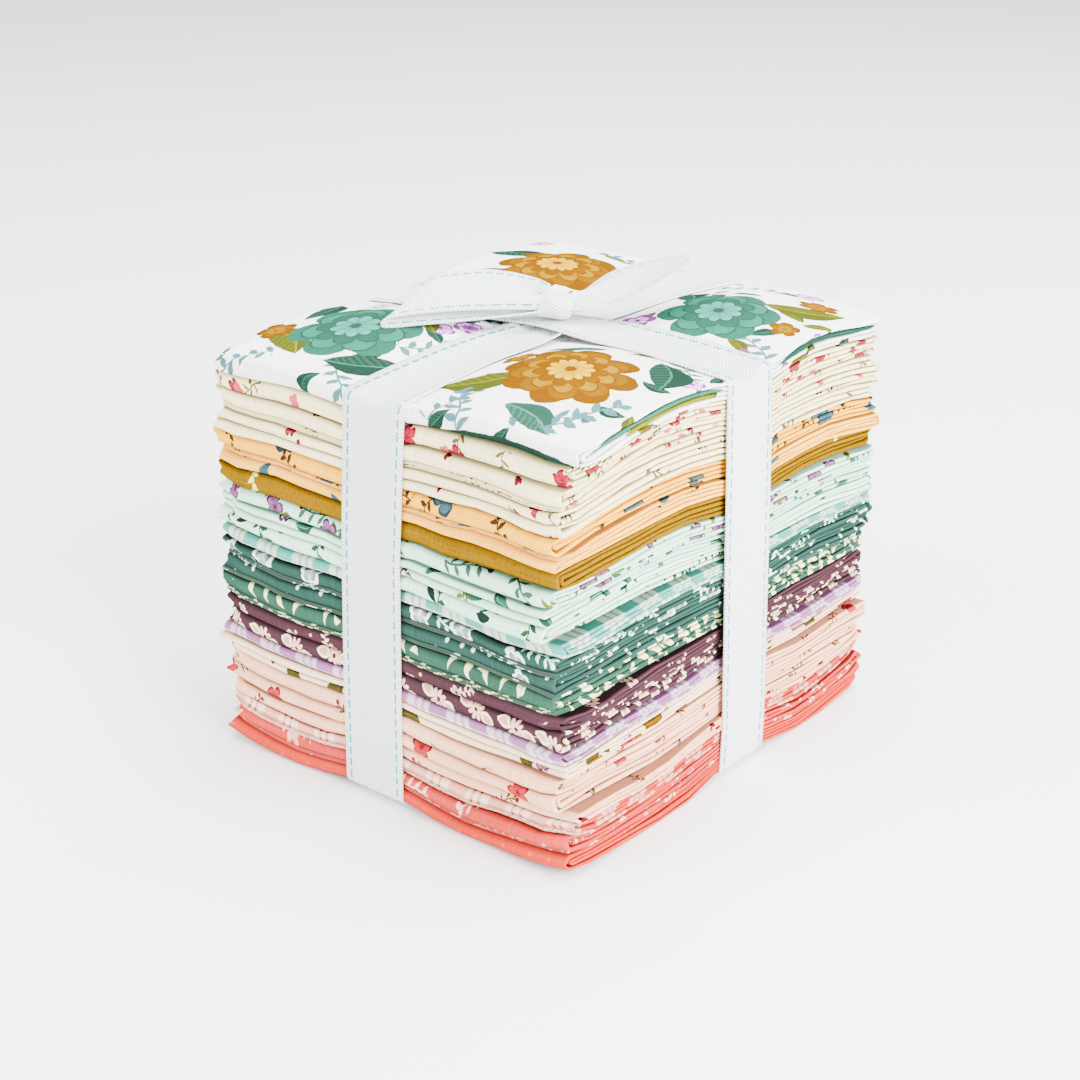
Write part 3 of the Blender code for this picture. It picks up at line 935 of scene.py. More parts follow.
@dataclass
class Ribbon:
    """The tape: two taut bands, the knot, the loop and the tail. Lengths in metres.

    A line of a band is held out by the cloth's sides within side_reach of it and by the crossed
    tape within cross_reach. side_share is the share of the way out at which the stack's sides
    begin, lines the number of lines over the tape's width, and samples the number of places at
    which the stack's top and underside are measured. Under the knot the bands narrow by pinch
    within about pinch_reach, over the height pinch_height. On top each line follows the cloth by
    top_follow and more, and on the sides they all stand out as the outermost does.
    """

    maker: MeshMaker
    drape: Drape
    cloths: list[bpy.types.Object]
    thickness: float = 0.45 * MM
    clearance: float = 0.12 * MM
    side_reach: float = 4.6 * MM
    cross_reach: float = 4.0 * MM
    side_share: float = 0.85
    face_share: float = 0.97
    samples: int = 90
    lines: int = 9
    pinch: float = 0.3
    pinch_reach: float = 0.011
    pinch_height: float = 0.06
    top_follow: float = 0.5

    def __post_init__(self) -> None:
        """Lays out the lines over the tape's width."""
        self.columns = np.linspace(-0.5, 0.5, self.lines)

    def solid_points(self, pieces: list[bpy.types.Object]) -> np.ndarray:
        """Points of some pieces in the stack's own coordinates.

        Args:
            pieces: the pieces.

        Returns:
            An array of points.
        """
        found = []
        for piece in pieces:
            flat = np.empty(len(piece.data.vertices) * 3)
            piece.data.vertices.foreach_get("co", flat)
            found.append(flat.reshape(-1, 3) - self.maker.shift)
        return np.concatenate(found)

    @staticmethod
    def hull(points: np.ndarray) -> np.ndarray:
        """The corners of the shortest loop round some flat points, going round once.

        Args:
            points: array of flat points.

        Returns:
            The corners in order.
        """
        ordered = points[np.lexsort((points[:, 1], points[:, 0]))]
        halves = []
        for line in (ordered, ordered[::-1]):
            chain: list[np.ndarray] = []
            for point in line:
                while len(chain) > 1:
                    one, two = chain[-1] - chain[-2], point - chain[-2]
                    if one[0] * two[1] - one[1] * two[0] > 0:
                        break
                    chain.pop()
                chain.append(point)
            halves.append(np.array(chain[:-1]))
        return np.concatenate(halves)

    @staticmethod
    def reach(loop: np.ndarray, middle: np.ndarray, angles: np.ndarray) -> np.ndarray:
        """Distance from the middle to a convex loop at each angle.

        Args:
            loop: the loop's corners in order.
            middle: a point inside it.
            angles: the angles in radians.

        Returns:
            The distances.
        """
        around = loop - middle
        bearings = np.arctan2(around[:, 1], around[:, 0])
        order = np.argsort(bearings)
        around, bearings = around[order], bearings[order]
        after = np.searchsorted(bearings, angles) % len(bearings)
        one, two = around[after - 1], around[after]
        ray = np.stack([np.cos(angles), np.sin(angles)], axis=-1)
        side = two - one
        cross = one[:, 0] * side[:, 1] - one[:, 1] * side[:, 0]
        return cross / (ray[:, 0] * side[:, 1] - ray[:, 1] * side[:, 0])

    def faces(self, course: Course, place: float) -> np.ndarray:
        """Points of the stack's top and underside along one line of a band.

        Args:
            course: the band's course.
            place: the line's distance from the band's middle, in metres.

        Returns:
            An array of points.
        """
        end = self.face_share * course.half
        along = np.tile(np.linspace(-end, end, self.samples), 2)
        share = np.repeat([0.0, 1.0], self.samples)
        level = place + course.lean(along, share * CORNER_TOP)
        x, y = (level, along) if course is LONG else (along, level)
        return self.drape.settle(x, y, share)

    @staticmethod
    def bearings(half: float) -> np.ndarray:
        """Angles at which a band is laid out, closer together round the stack's corners.

        Args:
            half: distance from the middle to where the band turns down, in metres.

        Returns:
            The angles in radians, in order.
        """
        step, fine_step, fine_count = 2.5, 0.5, 8
        made = [math.radians(index * step - 180) for index in range(round(360 / step))]
        for side_x in (-1, 1):
            for side_z in (-1, 1):
                corner = math.atan2(side_z * CORNER_TOP / 2, side_x * half)
                made += [
                    corner + math.radians(index * fine_step)
                    for index in range(-fine_count, fine_count + 1)
                ]
        return np.unique(np.round(made, 5))

    def distances(
        self, course: Course, over: list[bpy.types.Object], middle: np.ndarray, angles: np.ndarray
    ) -> list[np.ndarray]:
        """How far out each line of a band lies so that it clears all that it wraps.

        Args:
            course: the band's course.
            over: the tape that it crosses over.
            middle: the middle of the stack, seen along the band's width.
            angles: the angles at which the band is laid out.

        Returns:
            The distances from the middle at the angles, for each line.
        """
        points = self.solid_points(self.cloths)
        sides = points[np.abs(points[:, course.along]) > self.side_share * course.half]
        sides_at = sides[:, course.across] - course.lean(sides[:, course.along], sides[:, 2])
        under = self.solid_points(over) if over else np.empty((0, 3))
        ring = np.radians(np.arange(0, 360, 30))
        pad = (self.clearance + self.thickness / 2) * np.stack([np.cos(ring), np.sin(ring)], -1)
        made = []
        for column in self.columns:
            place = column * TAPE_WIDTH
            strip = sides[np.abs(sides_at - place) < self.side_reach]
            crossed = under[np.abs(under[:, course.across] - place) < self.cross_reach]
            held = np.concatenate([strip, crossed, self.faces(course, place)])
            flat = held[:, [course.along, 2]]
            padded = (self.hull(flat)[:, None, :] + pad[None, :, :]).reshape(-1, 2)
            made.append(self.reach(self.hull(padded), middle, angles))
        return made

    def band(self, course: Course, over: list[bpy.types.Object]) -> bpy.types.Object:
        """A taut loop of tape round the stack.

        Args:
            course: the band's course.
            over: the tape that it crosses over.

        Returns:
            The band.
        """
        middle = np.array([0.0, CORNER_TOP / 2])
        angles = self.bearings(course.half)
        distances = self.distances(course, over, middle, angles)
        widest = np.max(distances, axis=0)
        rise = widest * np.sin(angles) + middle[1]
        near_top = smooth_step(rise, CORNER_TOP - 14.0 * MM, CORNER_TOP - 3.0 * MM)
        follow = self.top_follow + (1 - self.top_follow) * near_top
        follow = follow * smooth_step(rise, 4.0 * MM, 16.0 * MM)
        places = []
        for column, own in zip(self.columns, distances):
            distance = widest + (own - widest) * follow
            outline = middle + distance[:, None] * np.stack([np.cos(angles), np.sin(angles)], -1)
            under_knot = np.exp(-((outline[:, 0] / self.pinch_reach) ** 2))
            squeeze = 1 - self.pinch * under_knot * (outline[:, 1] > self.pinch_height)
            drift = course.lean(outline[:, 0], outline[:, 1])
            grid = np.empty((len(angles), 3))
            grid[:, course.across] = column * TAPE_WIDTH * squeeze + drift
            grid[:, course.along] = outline[:, 0]
            grid[:, 2] = outline[:, 1]
            places.append(grid)
        grid = np.stack(places, axis=1)
        grid = np.concatenate([grid, grid[:1]], axis=0)
        return self.tape(course.name, grid, closed=True)

    def tape(self, name: str, grid: np.ndarray, closed: bool = False) -> bpy.types.Object:
        """A piece of tape through a grid of points.

        Args:
            name: the piece's name.
            grid: the points, in rows along the tape and columns across it.
            closed: whether the first and last rows are joined.

        Returns:
            The piece.
        """
        middle = grid[:, grid.shape[1] // 2]
        steps = np.linalg.norm(np.diff(middle, axis=0), axis=1)
        length = np.concatenate([[0.0], np.cumsum(steps)])
        across = np.linspace(-0.5, 0.5, grid.shape[1]) * TAPE_WIDTH
        flats = np.stack(np.meshgrid(length, across, indexing="ij"), axis=-1)
        made = self.maker.surface(name, grid, flats, closed, False)
        self.maker.thicken(made, self.thickness, ("ribbon_tape", "ribbon_tape"))
        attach(made, "root")
        return made

    def build(self) -> list[bpy.types.Object]:
        """Returns:
            The bands.
        """
        bands: list[bpy.types.Object] = []
        for course in (LONG, CROSS):
            made = self.band(course, list(bands))
            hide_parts(course.node)
            bands.append(made)
        return bands


# Right, back and up of the middle of the tape, then right, back and up of its width, all in mm
LOOP_ROWS = (
    (-2.0, 0.0, 4.6, 0.4, 6.0, 2.6),
    (-5.3, 0.0, 5.6, 0.6, 8.6, 3.6),
    (-13.0, -1.5, 6.9, 4.0, 12.0, 5.0),
    (-22.0, -3.5, 7.7, 8.0, 13.5, 6.4),
    (-31.0, -5.6, 7.5, 11.0, 13.8, 7.2),
    (-35.4, -6.8, 6.9, 12.0, 13.6, 7.3),
    (-36.6, -7.2, 5.8, 12.0, 13.6, 7.3),
    (-35.4, -7.0, 4.7, 12.0, 13.6, 7.3),
    (-28.0, -5.0, 4.7, 10.0, 13.6, 7.0),
    (-18.0, -2.6, 4.1, 6.0, 12.8, 5.6),
    (-5.3, 0.0, 3.0, 0.6, 8.6, 3.6),
    (-2.0, 0.0, 2.8, 0.4, 6.0, 2.6),
)
TAIL_ROWS = (
    (1.5, 0.0, 3.2, 0.4, 6.0, 2.6),
    (5.4, 0.4, 3.6, 0.4, 8.6, 3.6),
    (13.0, 2.5, 6.0, 0.0, 13.5, 5.5),
    (19.0, 4.0, 8.0, 0.0, 15.5, 4.5),
    (25.0, 5.2, 10.0, 0.3, 17.0, 2.0),
    (30.0, 6.0, 11.8, 1.0, 17.6, -0.8),
    (34.0, 6.4, 13.4, 1.5, 17.8, -3.0),
)


@dataclass
class Bow:
    """The knot with its one loop and its one tail.

    base is the height of the bow's own ground and the flats are the lengths of its three pieces of
    tape, in metres, though nothing uses the flats. right and back are the directions that its rows
    are given in. Where the tape is gathered it lies in pleats of pleat_depth and a hollow of
    cup_depth.
    The knot's wrap reaches out to knot_reach on each side and back in by knot_tuck, is knot_back
    deep and knot_rise high from its middle at knot_middle, all in millimetres.
    """

    ribbon: Ribbon
    base: float = CORNER_TOP + 5.0 * MM
    knot_flat: float = 22 * MM
    loop_flat: float = 74 * MM
    tail_flat: float = 38 * MM
    right: tuple[float, float, float] = (0.77, 0.64, 0.0)
    back: tuple[float, float, float] = (-0.64, 0.77, 0.0)
    pleat_depth: float = 3.0
    cup_depth: float = 1.1
    knot_reach: float = 4.1
    knot_tuck: float = 3.2
    knot_back: float = 4.5
    knot_rise: float = 3.0
    knot_middle: float = 2.9

    @staticmethod
    def smooth(rows: tuple[tuple[float, ...], ...], steps: int) -> np.ndarray:
        """A smooth run of rows through the given ones.

        Args:
            rows: the given rows.
            steps: number of rows wanted.

        Returns:
            An array of rows.
        """
        knots = np.arange(len(rows), dtype=float)
        values = np.linspace(0, len(rows) - 1, steps)
        return Drape.weights(values, knots) @ np.array(rows)

    def in_stack(self, right: np.ndarray, back: np.ndarray, up: np.ndarray) -> np.ndarray:
        """Points from right, back and up of the view, in metres."""
        flat = right[..., None] * np.array(self.right) + back[..., None] * np.array(self.back)
        return flat + up[..., None] * np.array((0.0, 0.0, 1.0))

    def strip(
        self, name: str, rows: tuple[tuple[float, ...], ...], steps: int
    ) -> bpy.types.Object:
        """Tape along rows, gathered into pleats where they are narrower than it is.

        Args:
            name: the piece's name.
            rows: middles and widths of the tape, as in the tables.
            steps: number of rows of points along it.

        Returns:
            The piece.
        """
        line = self.smooth(rows, steps) * MM
        centre = self.in_stack(line[:, 0], line[:, 1], line[:, 2]) + [0.0, 0.0, self.base]
        width = self.in_stack(line[:, 3], line[:, 4], line[:, 5])
        ahead = np.gradient(centre, axis=0)
        normal = np.cross(ahead, width)
        normal /= np.linalg.norm(normal, axis=1)[:, None]
        chord = np.linalg.norm(width, axis=1)
        spare = np.clip(1 - chord / TAPE_WIDTH, 0.0, 0.7)
        across = np.linspace(-0.5, 0.5, 17)
        pleat = np.sin(across * 2 * math.pi * 1.5 + 0.6)
        cup = 0.25 - across**2 * 1.0
        depth = self.pleat_depth * MM * spare[:, None] * pleat[None, :]
        depth = depth + self.cup_depth * MM * cup[None, :]
        grid = centre[:, None, :] + across[None, :, None] * width[:, None, :]
        grid = grid + depth[:, :, None] * normal[:, None, :]
        return self.ribbon.tape(name, grid)

    def knot(self) -> bpy.types.Object:
        """The wrap of tape round the middle of the bow, its edges tucked in.

        Returns:
            The knot.
        """
        shown_share = 0.62
        turns = np.linspace(0, 2 * math.pi, 49)
        across = np.linspace(-1, 1, 37)
        angle, along = np.meshgrid(turns, across, indexing="ij")
        shown = np.clip(np.abs(along) / shown_share, 0.0, 1.0)
        tucked = np.clip((np.abs(along) - shown_share) / (1 - shown_share), 0.0, 1.0)
        side = np.sign(along)
        out = self.knot_reach * np.sin(shown * math.pi / 2) ** 0.9 - self.knot_tuck * tucked
        pleat = 0.34 * np.cos(2.1 * math.pi * along + 1.7 * np.sin(angle + 0.5))
        pleat += 0.2 * np.cos(6.4 * along + 1.4 * np.cos(angle) + 0.8)
        swell = (1 - 0.3 * shown**4) * (1 - 0.3 * np.sqrt(tucked))
        pleat = pleat * (1 - 0.6 * shown**3)
        right = side * out + 0.45 * np.sin(angle + 0.6) * shown
        back = (self.knot_back * swell + pleat) * np.cos(angle) + 0.4 * along
        up = self.knot_middle + (self.knot_rise * swell + pleat) * np.sin(angle)
        grid = self.in_stack(right * MM, back * MM, up * MM) + [0.0, 0.0, self.base]
        return self.ribbon.tape("tape_knot", grid, closed=True)

    def build(self) -> list[bpy.types.Object]:
        """Returns:
            The three pieces.
        """
        knot = self.knot()
        loop = self.strip("tape_loop", LOOP_ROWS, 64)
        tail = self.strip("tape_tail", TAIL_ROWS, 40)
        for made, node, flat, under in (
            (knot, "ribbon_knot", self.knot_flat, "tape_cross_band"),
            (loop, "ribbon_loop", self.loop_flat, "tape_knot"),
            (tail, "ribbon_tail", self.tail_flat, "tape_knot"),
        ):
            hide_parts(node)
        return [knot, loop, tail]


# How the nodes are laid out for the eye, and how soft a motif's edge is, in metres
NODES_IN_ROW = 14
NODE_WIDTH = 200
NODE_HEIGHT = 260
EDGE_SOFTNESS = 0.00006


def linear(code: str) -> tuple[float, float, float, float]:
    """The linear colour of a colour code.

    Args:
        code: a colour code such as #F3F0A4.

    Returns:
        Its linear red, green, blue and alpha.
    """
    made = []
    for first in (1, 3, 5):
        value = int(code[first : first + 2], 16) / 255
        made.append(value / 12.92 if value <= 0.04045 else ((value + 0.055) / 1.055) ** 2.4)
    return (*made, 1.0)


@dataclass(frozen=True)
class Term:
    """A value in a shader that can be added and multiplied like a number."""

    graph: "Graph"
    socket: bpy.types.NodeSocket

    def __add__(self, other: "Term | float") -> "Term":
        """This value plus another."""
        return self.graph.math("ADD", self, other)

    def __radd__(self, other: float) -> "Term":
        """A number plus this value."""
        return self.graph.math("ADD", other, self)

    def __sub__(self, other: "Term | float") -> "Term":
        """This value less another."""
        return self.graph.math("SUBTRACT", self, other)

    def __rsub__(self, other: float) -> "Term":
        """A number less this value."""
        return self.graph.math("SUBTRACT", other, self)

    def __mul__(self, other: "Term | float") -> "Term":
        """This value times another."""
        return self.graph.math("MULTIPLY", self, other)

    def __rmul__(self, other: float) -> "Term":
        """A number times this value."""
        return self.graph.math("MULTIPLY", other, self)

    def __truediv__(self, other: "Term | float") -> "Term":
        """This value over another."""
        return self.graph.math("DIVIDE", self, other)

    def __rtruediv__(self, other: float) -> "Term":
        """A number over this value."""
        return self.graph.math("DIVIDE", other, self)

    def __abs__(self) -> "Term":
        """This value without its sign."""
        return self.graph.math("ABSOLUTE", self)


@dataclass
class Graph:
    """Writes nodes into a shader or a shader group."""

    tree: bpy.types.NodeTree
    count: int = 0

    def node(self, kind: str, **settings: object) -> bpy.types.Node:
        """A new node with its settings, placed after the ones before.

        Args:
            kind: the node's type.
            settings: its properties by name.

        Returns:
            The node.
        """
        made = self.tree.nodes.new(kind)
        row, column = divmod(self.count, NODES_IN_ROW)
        made.location = (NODE_WIDTH * column, -NODE_HEIGHT * row)
        self.count += 1
        for key, value in settings.items():
            setattr(made, key, value)
        return made

    def feed(self, socket: bpy.types.NodeSocket, value: object) -> None:
        """Links a value to a socket, or sets it there.

        Args:
            socket: an input.
            value: a shader value or a constant.
        """
        if isinstance(value, Term):
            self.tree.links.new(value.socket, socket)
        else:
            socket.default_value = value

    def term(
        self,
        kind: str,
        inputs: dict[int | str, object],
        output: int | str = 0,
        **settings: object,
    ) -> Term:
        """One output of a new node.

        Args:
            kind: the node's type.
            inputs: what goes into it, by the input's number or name.
            output: the output's number or name.
            settings: the node's properties by name.

        Returns:
            The output.
        """
        made = self.node(kind, **settings)
        for key, value in inputs.items():
            self.feed(made.inputs[key], value)
        return Term(self, made.outputs[output])

    def pair(self, kind: str, inputs: dict[int | str, object]) -> tuple[Term, Term]:
        """The first two outputs of a new node."""
        first = self.term(kind, inputs)
        return first, Term(self, first.socket.node.outputs[1])

    def math(self, operation: str, *values: "Term | float") -> Term:
        """The result of a sum."""
        return self.term("ShaderNodeMath", dict(enumerate(values)), operation=operation)

    def inside(self, distance: Term, softness: float = EDGE_SOFTNESS) -> Term:
        """1 where a distance is over nought and 0 where it is under, with a soft edge."""
        ends = {"Value": distance, "From Min": -softness, "From Max": softness}
        return self.term("ShaderNodeMapRange", ends, "Result", interpolation_type="SMOOTHSTEP")

    def mix(
        self, share: "Term | float", one: object, two: object, blend: str = "MIX"
    ) -> Term:
        """A colour mixed from two, by the share of the second."""
        colours = {0: share, 6: one, 7: two}
        return self.term("ShaderNodeMix", colours, 2, data_type="RGBA", blend_type=blend)

    def split(self, vector: Term) -> tuple[Term, Term]:
        """The first two parts of a vector."""
        return self.pair("ShaderNodeSeparateXYZ", {0: vector})

    def join(self, x: "Term | float", y: "Term | float") -> Term:
        """A flat vector from its two parts."""
        return self.term("ShaderNodeCombineXYZ", {0: x, 1: y})

    def vector(self, operation: str, *values: object) -> Term:
        """The result of a sum of vectors, which is a number for a length."""
        inputs, output = dict(enumerate(values)), "Value" if operation == "LENGTH" else "Vector"
        return self.term("ShaderNodeVectorMath", inputs, output, operation=operation)

    def noise(self, vector: Term, scale: float, detail: float = 3.0) -> tuple[Term, Term]:
        """Cloudy noise as a number and as a colour."""
        inputs = {"Vector": vector, "Scale": scale, "Detail": detail}
        return self.pair("ShaderNodeTexNoise", inputs)

    def spin(self, vector: Term, angle: "Term | float") -> Term:
        """A vector turned about the cloth's upright, by an angle in radians."""
        turned = {"Vector": vector, "Angle": angle}
        return self.term("ShaderNodeVectorRotate", turned, rotation_type="Z_AXIS")

    def call(self, group: bpy.types.NodeTree, **values: object) -> dict[str, Term]:
        """The outputs of a group, by name.

        Args:
            group: the group.
            values: its inputs by name, in small letters.

        Returns:
            The outputs by name.
        """
        made = self.node("ShaderNodeGroup", node_tree=group)
        for key, value in values.items():
            self.feed(made.inputs[key.replace("_", " ").title()], value)
        return {socket.name: Term(self, socket) for socket in made.outputs}


class Group:
    """A shared shader group while it is being written."""

    def __init__(
        self, name: str, inputs: dict[str, tuple[str, ...]], outputs: dict[str, tuple[str, ...]]
    ) -> None:
        """Makes the empty group.

        Args:
            name: the group's name.
            inputs: names of the inputs by their kind.
            outputs: names of the outputs by their kind.
        """
        self.tree = bpy.data.node_groups.new(name, "ShaderNodeTree")
        for way, sockets in (("INPUT", inputs), ("OUTPUT", outputs)):
            for kind, keys in sockets.items():
                for key in keys:
                    self.tree.interface.new_socket(
                        key, in_out=way, socket_type=f"NodeSocket{kind}"
                    )
        self.graph = Graph(self.tree)
        self.start = self.graph.node("NodeGroupInput")
        self.end = self.graph.node("NodeGroupOutput")

    def __getitem__(self, key: str) -> Term:
        """One of the group's inputs."""
        return Term(self.graph, self.start.outputs[key])

    def __setitem__(self, key: str, value: Term) -> None:
        """Feeds one of the group's outputs."""
        self.graph.feed(self.end.inputs[key], value)


def weave_group() -> bpy.types.NodeTree:
    """Plain weave: a thread's height, and the real tone of its slubs with painted shading of its
    relief, from the flat cloth's coordinates.

    Returns:
        The group.
    """
    along_scale, across_scale = 40.0, 2600.0
    inputs = {"Vector": ("Vector",), "Float": ("Pitch",)}
    group = Group("plain_weave", inputs, {"Float": ("Tone And Shading", "Height")})
    graph = group.graph
    u, v = graph.split(group["Vector"])
    wave_u = abs(graph.math("SINE", u * math.pi / group["Pitch"]))
    wave_v = abs(graph.math("SINE", v * math.pi / group["Pitch"]))
    parity = graph.math("FLOOR", u / group["Pitch"]) + graph.math("FLOOR", v / group["Pitch"])
    over = graph.math("MODULO", abs(parity), 2.0)
    height = over * wave_u + (1.0 - over) * wave_v
    slub_u, _ = graph.noise(graph.join(u * along_scale, v * across_scale), 1.0, 2.0)
    slub_v, _ = graph.noise(graph.join(u * across_scale, v * along_scale), 1.0, 2.0)
    slub = slub_u + slub_v - 1.0
    group["Height"] = height + slub * 1.4
    # Painted shading of the threads' relief, lighter on their crests, plus the real uneven tone of
    # the slubs
    group["Tone And Shading"] = 0.92 + height * 0.12 + slub * 0.55
    return group.tree


def scatter_group() -> bpy.types.NodeTree:
    """Random spots: coordinates from the nearest one, turned at random, and random numbers.

    Returns:
        The group.
    """
    inputs = {"Vector": ("Vector",), "Float": ("Spacing", "Jitter", "Turn", "Angle")}
    group = Group("scatter", inputs, {"Vector": ("Local",), "Float": ("Chance",)})
    graph = group.graph
    cells = {
        "Vector": group["Vector"], "Scale": 1.0 / group["Spacing"], "Randomness": group["Jitter"],
    }
    colour = graph.term(
        "ShaderNodeTexVoronoi", cells, "Color", voronoi_dimensions="2D", feature="F1"
    )
    turn, group["Chance"] = graph.split(colour)
    middle = Term(graph, colour.socket.node.outputs["Position"])
    local = graph.vector("SUBTRACT", group["Vector"], middle)
    group["Local"] = graph.spin(local, turn * group["Turn"] * (2 * math.pi) + group["Angle"])
    return group.tree


MOTIF_OUTPUTS = {"Float": ("Shape", "Heart", "Streak")}


def motif_inputs(*more: str) -> dict[str, tuple[str, ...]]:
    """Inputs of a motif's group: its own coordinates, its size and further numbers."""
    return {"Vector": ("Local",), "Float": ("Size", *more)}


def flower_group() -> bpy.types.NodeTree:
    """An open flower: its petals, its heart and the streaks in its petals.

    Returns:
        The group.
    """
    group = Group("flower", motif_inputs("Petals", "Depth"), MOTIF_OUTPUTS)
    graph = group.graph
    x, y = graph.split(group["Local"])
    angle = graph.math("ARCTAN2", y, x)
    distance = graph.vector("LENGTH", group["Local"])
    heart_share, petal_power = 0.24, 0.55
    wave = abs(graph.math("COSINE", angle * group["Petals"] * 0.5))
    lobe = graph.math("POWER", wave, petal_power)
    radius = group["Size"] * 0.5
    edge = radius * (1.0 - group["Depth"] * (1.0 - lobe))
    group["Shape"] = graph.inside(edge - distance)
    group["Heart"] = graph.inside(radius * heart_share - distance)
    fine = 0.5 + 0.5 * graph.math("COSINE", angle * group["Petals"] * 5.0)
    inner = graph.math("MAXIMUM", 1.0 - distance / radius, 0.0)
    group["Streak"] = graph.math("MINIMUM", fine * inner * 1.3 + (1.0 - lobe) * 0.45, 1.0)
    return group.tree


def leaf_group() -> bpy.types.NodeTree:
    """A pointed leaf: its shape, its midrib and its side veins.

    Returns:
        The group.
    """
    group = Group("leaf", motif_inputs("Slim", "Curve"), MOTIF_OUTPUTS)
    graph = group.graph
    x, y = graph.split(group["Local"])
    along = x / (group["Size"] * 0.5)
    bent = y - x * x / group["Size"] * group["Curve"]
    belly = (1.0 - along * along) * (group["Size"] * group["Slim"] * 0.5)
    group["Shape"] = graph.inside(belly - abs(bent))
    midrib_share, vein_slope, vein_count = 0.012, 0.8, 60.0
    group["Heart"] = graph.inside(group["Size"] * midrib_share - abs(bent))
    ribs = (x + abs(bent) * vein_slope) / group["Size"] * vein_count
    vein = 0.5 + 0.5 * graph.math("SINE", ribs)
    group["Streak"] = vein * 0.4 * graph.inside(bent)
    return group.tree


def sprig_group() -> bpy.types.NodeTree:
    """A curved twig with leaves on both sides in turn, and its tip bud.

    Returns:
        The group.
    """
    group = Group("sprig", motif_inputs("Slim"), MOTIF_OUTPUTS)
    graph = group.graph
    x, y = graph.split(group["Local"])
    size = group["Size"]
    twig_share, leaf_share, bud_share, pitch_share = 0.018, 0.26, 0.065, 0.24
    bent = y - graph.math("SINE", x / size * 4.4) * size * 0.08
    reach = graph.inside(size * 0.5 - abs(x))
    twig = graph.inside(size * twig_share - abs(bent)) * reach
    side = graph.inside(bent, 0.000001)
    pitch = size * pitch_share
    place = graph.math("WRAP", x + side * pitch * 0.5, pitch * 0.5, pitch * -0.5)
    out = abs(bent)
    leaf_size = size * leaf_share
    along = (place * 0.6 + out * 0.8) / leaf_size * 2.0 - 1.0
    belly = (1.0 - along * along) * leaf_size * group["Slim"] * 0.5
    leaves = graph.inside(belly - abs(place * 0.8 - out * 0.6)) * reach
    bud_at = graph.vector("SUBTRACT", graph.join(x, bent), graph.join(size * 0.5, 0.0))
    bud = graph.inside(size * bud_share - graph.vector("LENGTH", bud_at))
    group["Shape"] = graph.math("MAXIMUM", graph.math("MAXIMUM", twig, leaves), bud)
    group["Heart"] = bud
    group["Streak"] = leaves * 0.15
    return group.tree


def plaid_group() -> bpy.types.NodeTree:
    """A woven check from wide and narrow bands both ways.

    Returns:
        The group.
    """
    inputs = {
        "Vector": ("Vector",), "Float": ("Pitch",), "Color": ("Ground", "Wide", "Narrow"),
    }
    group = Group("plaid", inputs, {"Color": ("Color",)})
    graph = group.graph
    wide, wide_middle, narrow, narrow_middles = 0.22, 0.3, 0.035, (0.68, 0.86)
    wides, narrows = [], []
    for part in graph.split(group["Vector"]):
        place = graph.math("WRAP", part / group["Pitch"], 1.0, 0.0)
        wides.append(graph.inside(wide - abs(place - wide_middle), 0.012))
        lines = [graph.inside(narrow - abs(place - middle), 0.01) for middle in narrow_middles]
        narrows.append(graph.math("MAXIMUM", *lines))
    colour = graph.mix((wides[0] + wides[1]) * 0.5, group["Ground"], group["Wide"])
    group["Color"] = graph.mix((narrows[0] + narrows[1]) * 0.5, colour, group["Narrow"])
    return group.tree


@dataclass(frozen=True)
class CottonFinish:
    """How printed quilting cotton takes the light.

    Heights and the pitch are in metres and scales are clouds for each metre. crease_shade_depth
    deepens the colour between folds and crease_shade_darkening darkens it there, both as painted
    crease shade;
    reverse_fade is how far the ground colour of the unprinted side, reverse, shows on the back.
    """

    pitch: float = 0.42 * MM
    drift_scale: float = 420.0
    dye_scale: float = 60.0
    dye_depth: float = 0.06
    crumple_scale: float = 90.0
    crumple: float = 0.0005
    weave: float = 0.00006
    crease_shade_depth: float = 0.55
    crease_shade_darkening: float = 0.7
    reverse: str = "#F3EECC"
    reverse_fade: float = 0.05
    roughness: float = 0.95


@dataclass(frozen=True)
class TapeFinish:
    """White herringbone tape with a pale running stitch inside both edges and painted shade in the
    grooves of its twill. Lengths in metres.
    """

    white: str = "#F3F3F3"
    # Colour of the painted shade in the twill's grooves
    twill_groove_shade: str = "#829297"
    thread: str = "#028B9B"
    twill_pitch: float = 0.95 * MM
    zigzag_width: float = 2.3 * MM
    zigzag_depth: float = 2.2 * MM
    thread_pitch: float = 0.3 * MM
    stitch_pitch: float = 3.3 * MM
    stitch_length: float = 0.68
    stitch_half_width: float = 0.26 * MM
    stitch_from_edge: float = 1.7 * MM
    selvedge: float = 0.8 * MM
    lump_scale: float = 160.0
    roughness: float = 0.8
    gloss: float = 0.1


@dataclass(frozen=True)
class PaperFinish:
    """Plain pale paper for the bundle to stand on."""

    colour: str = "#F3F3F3"
    roughness: float = 0.9


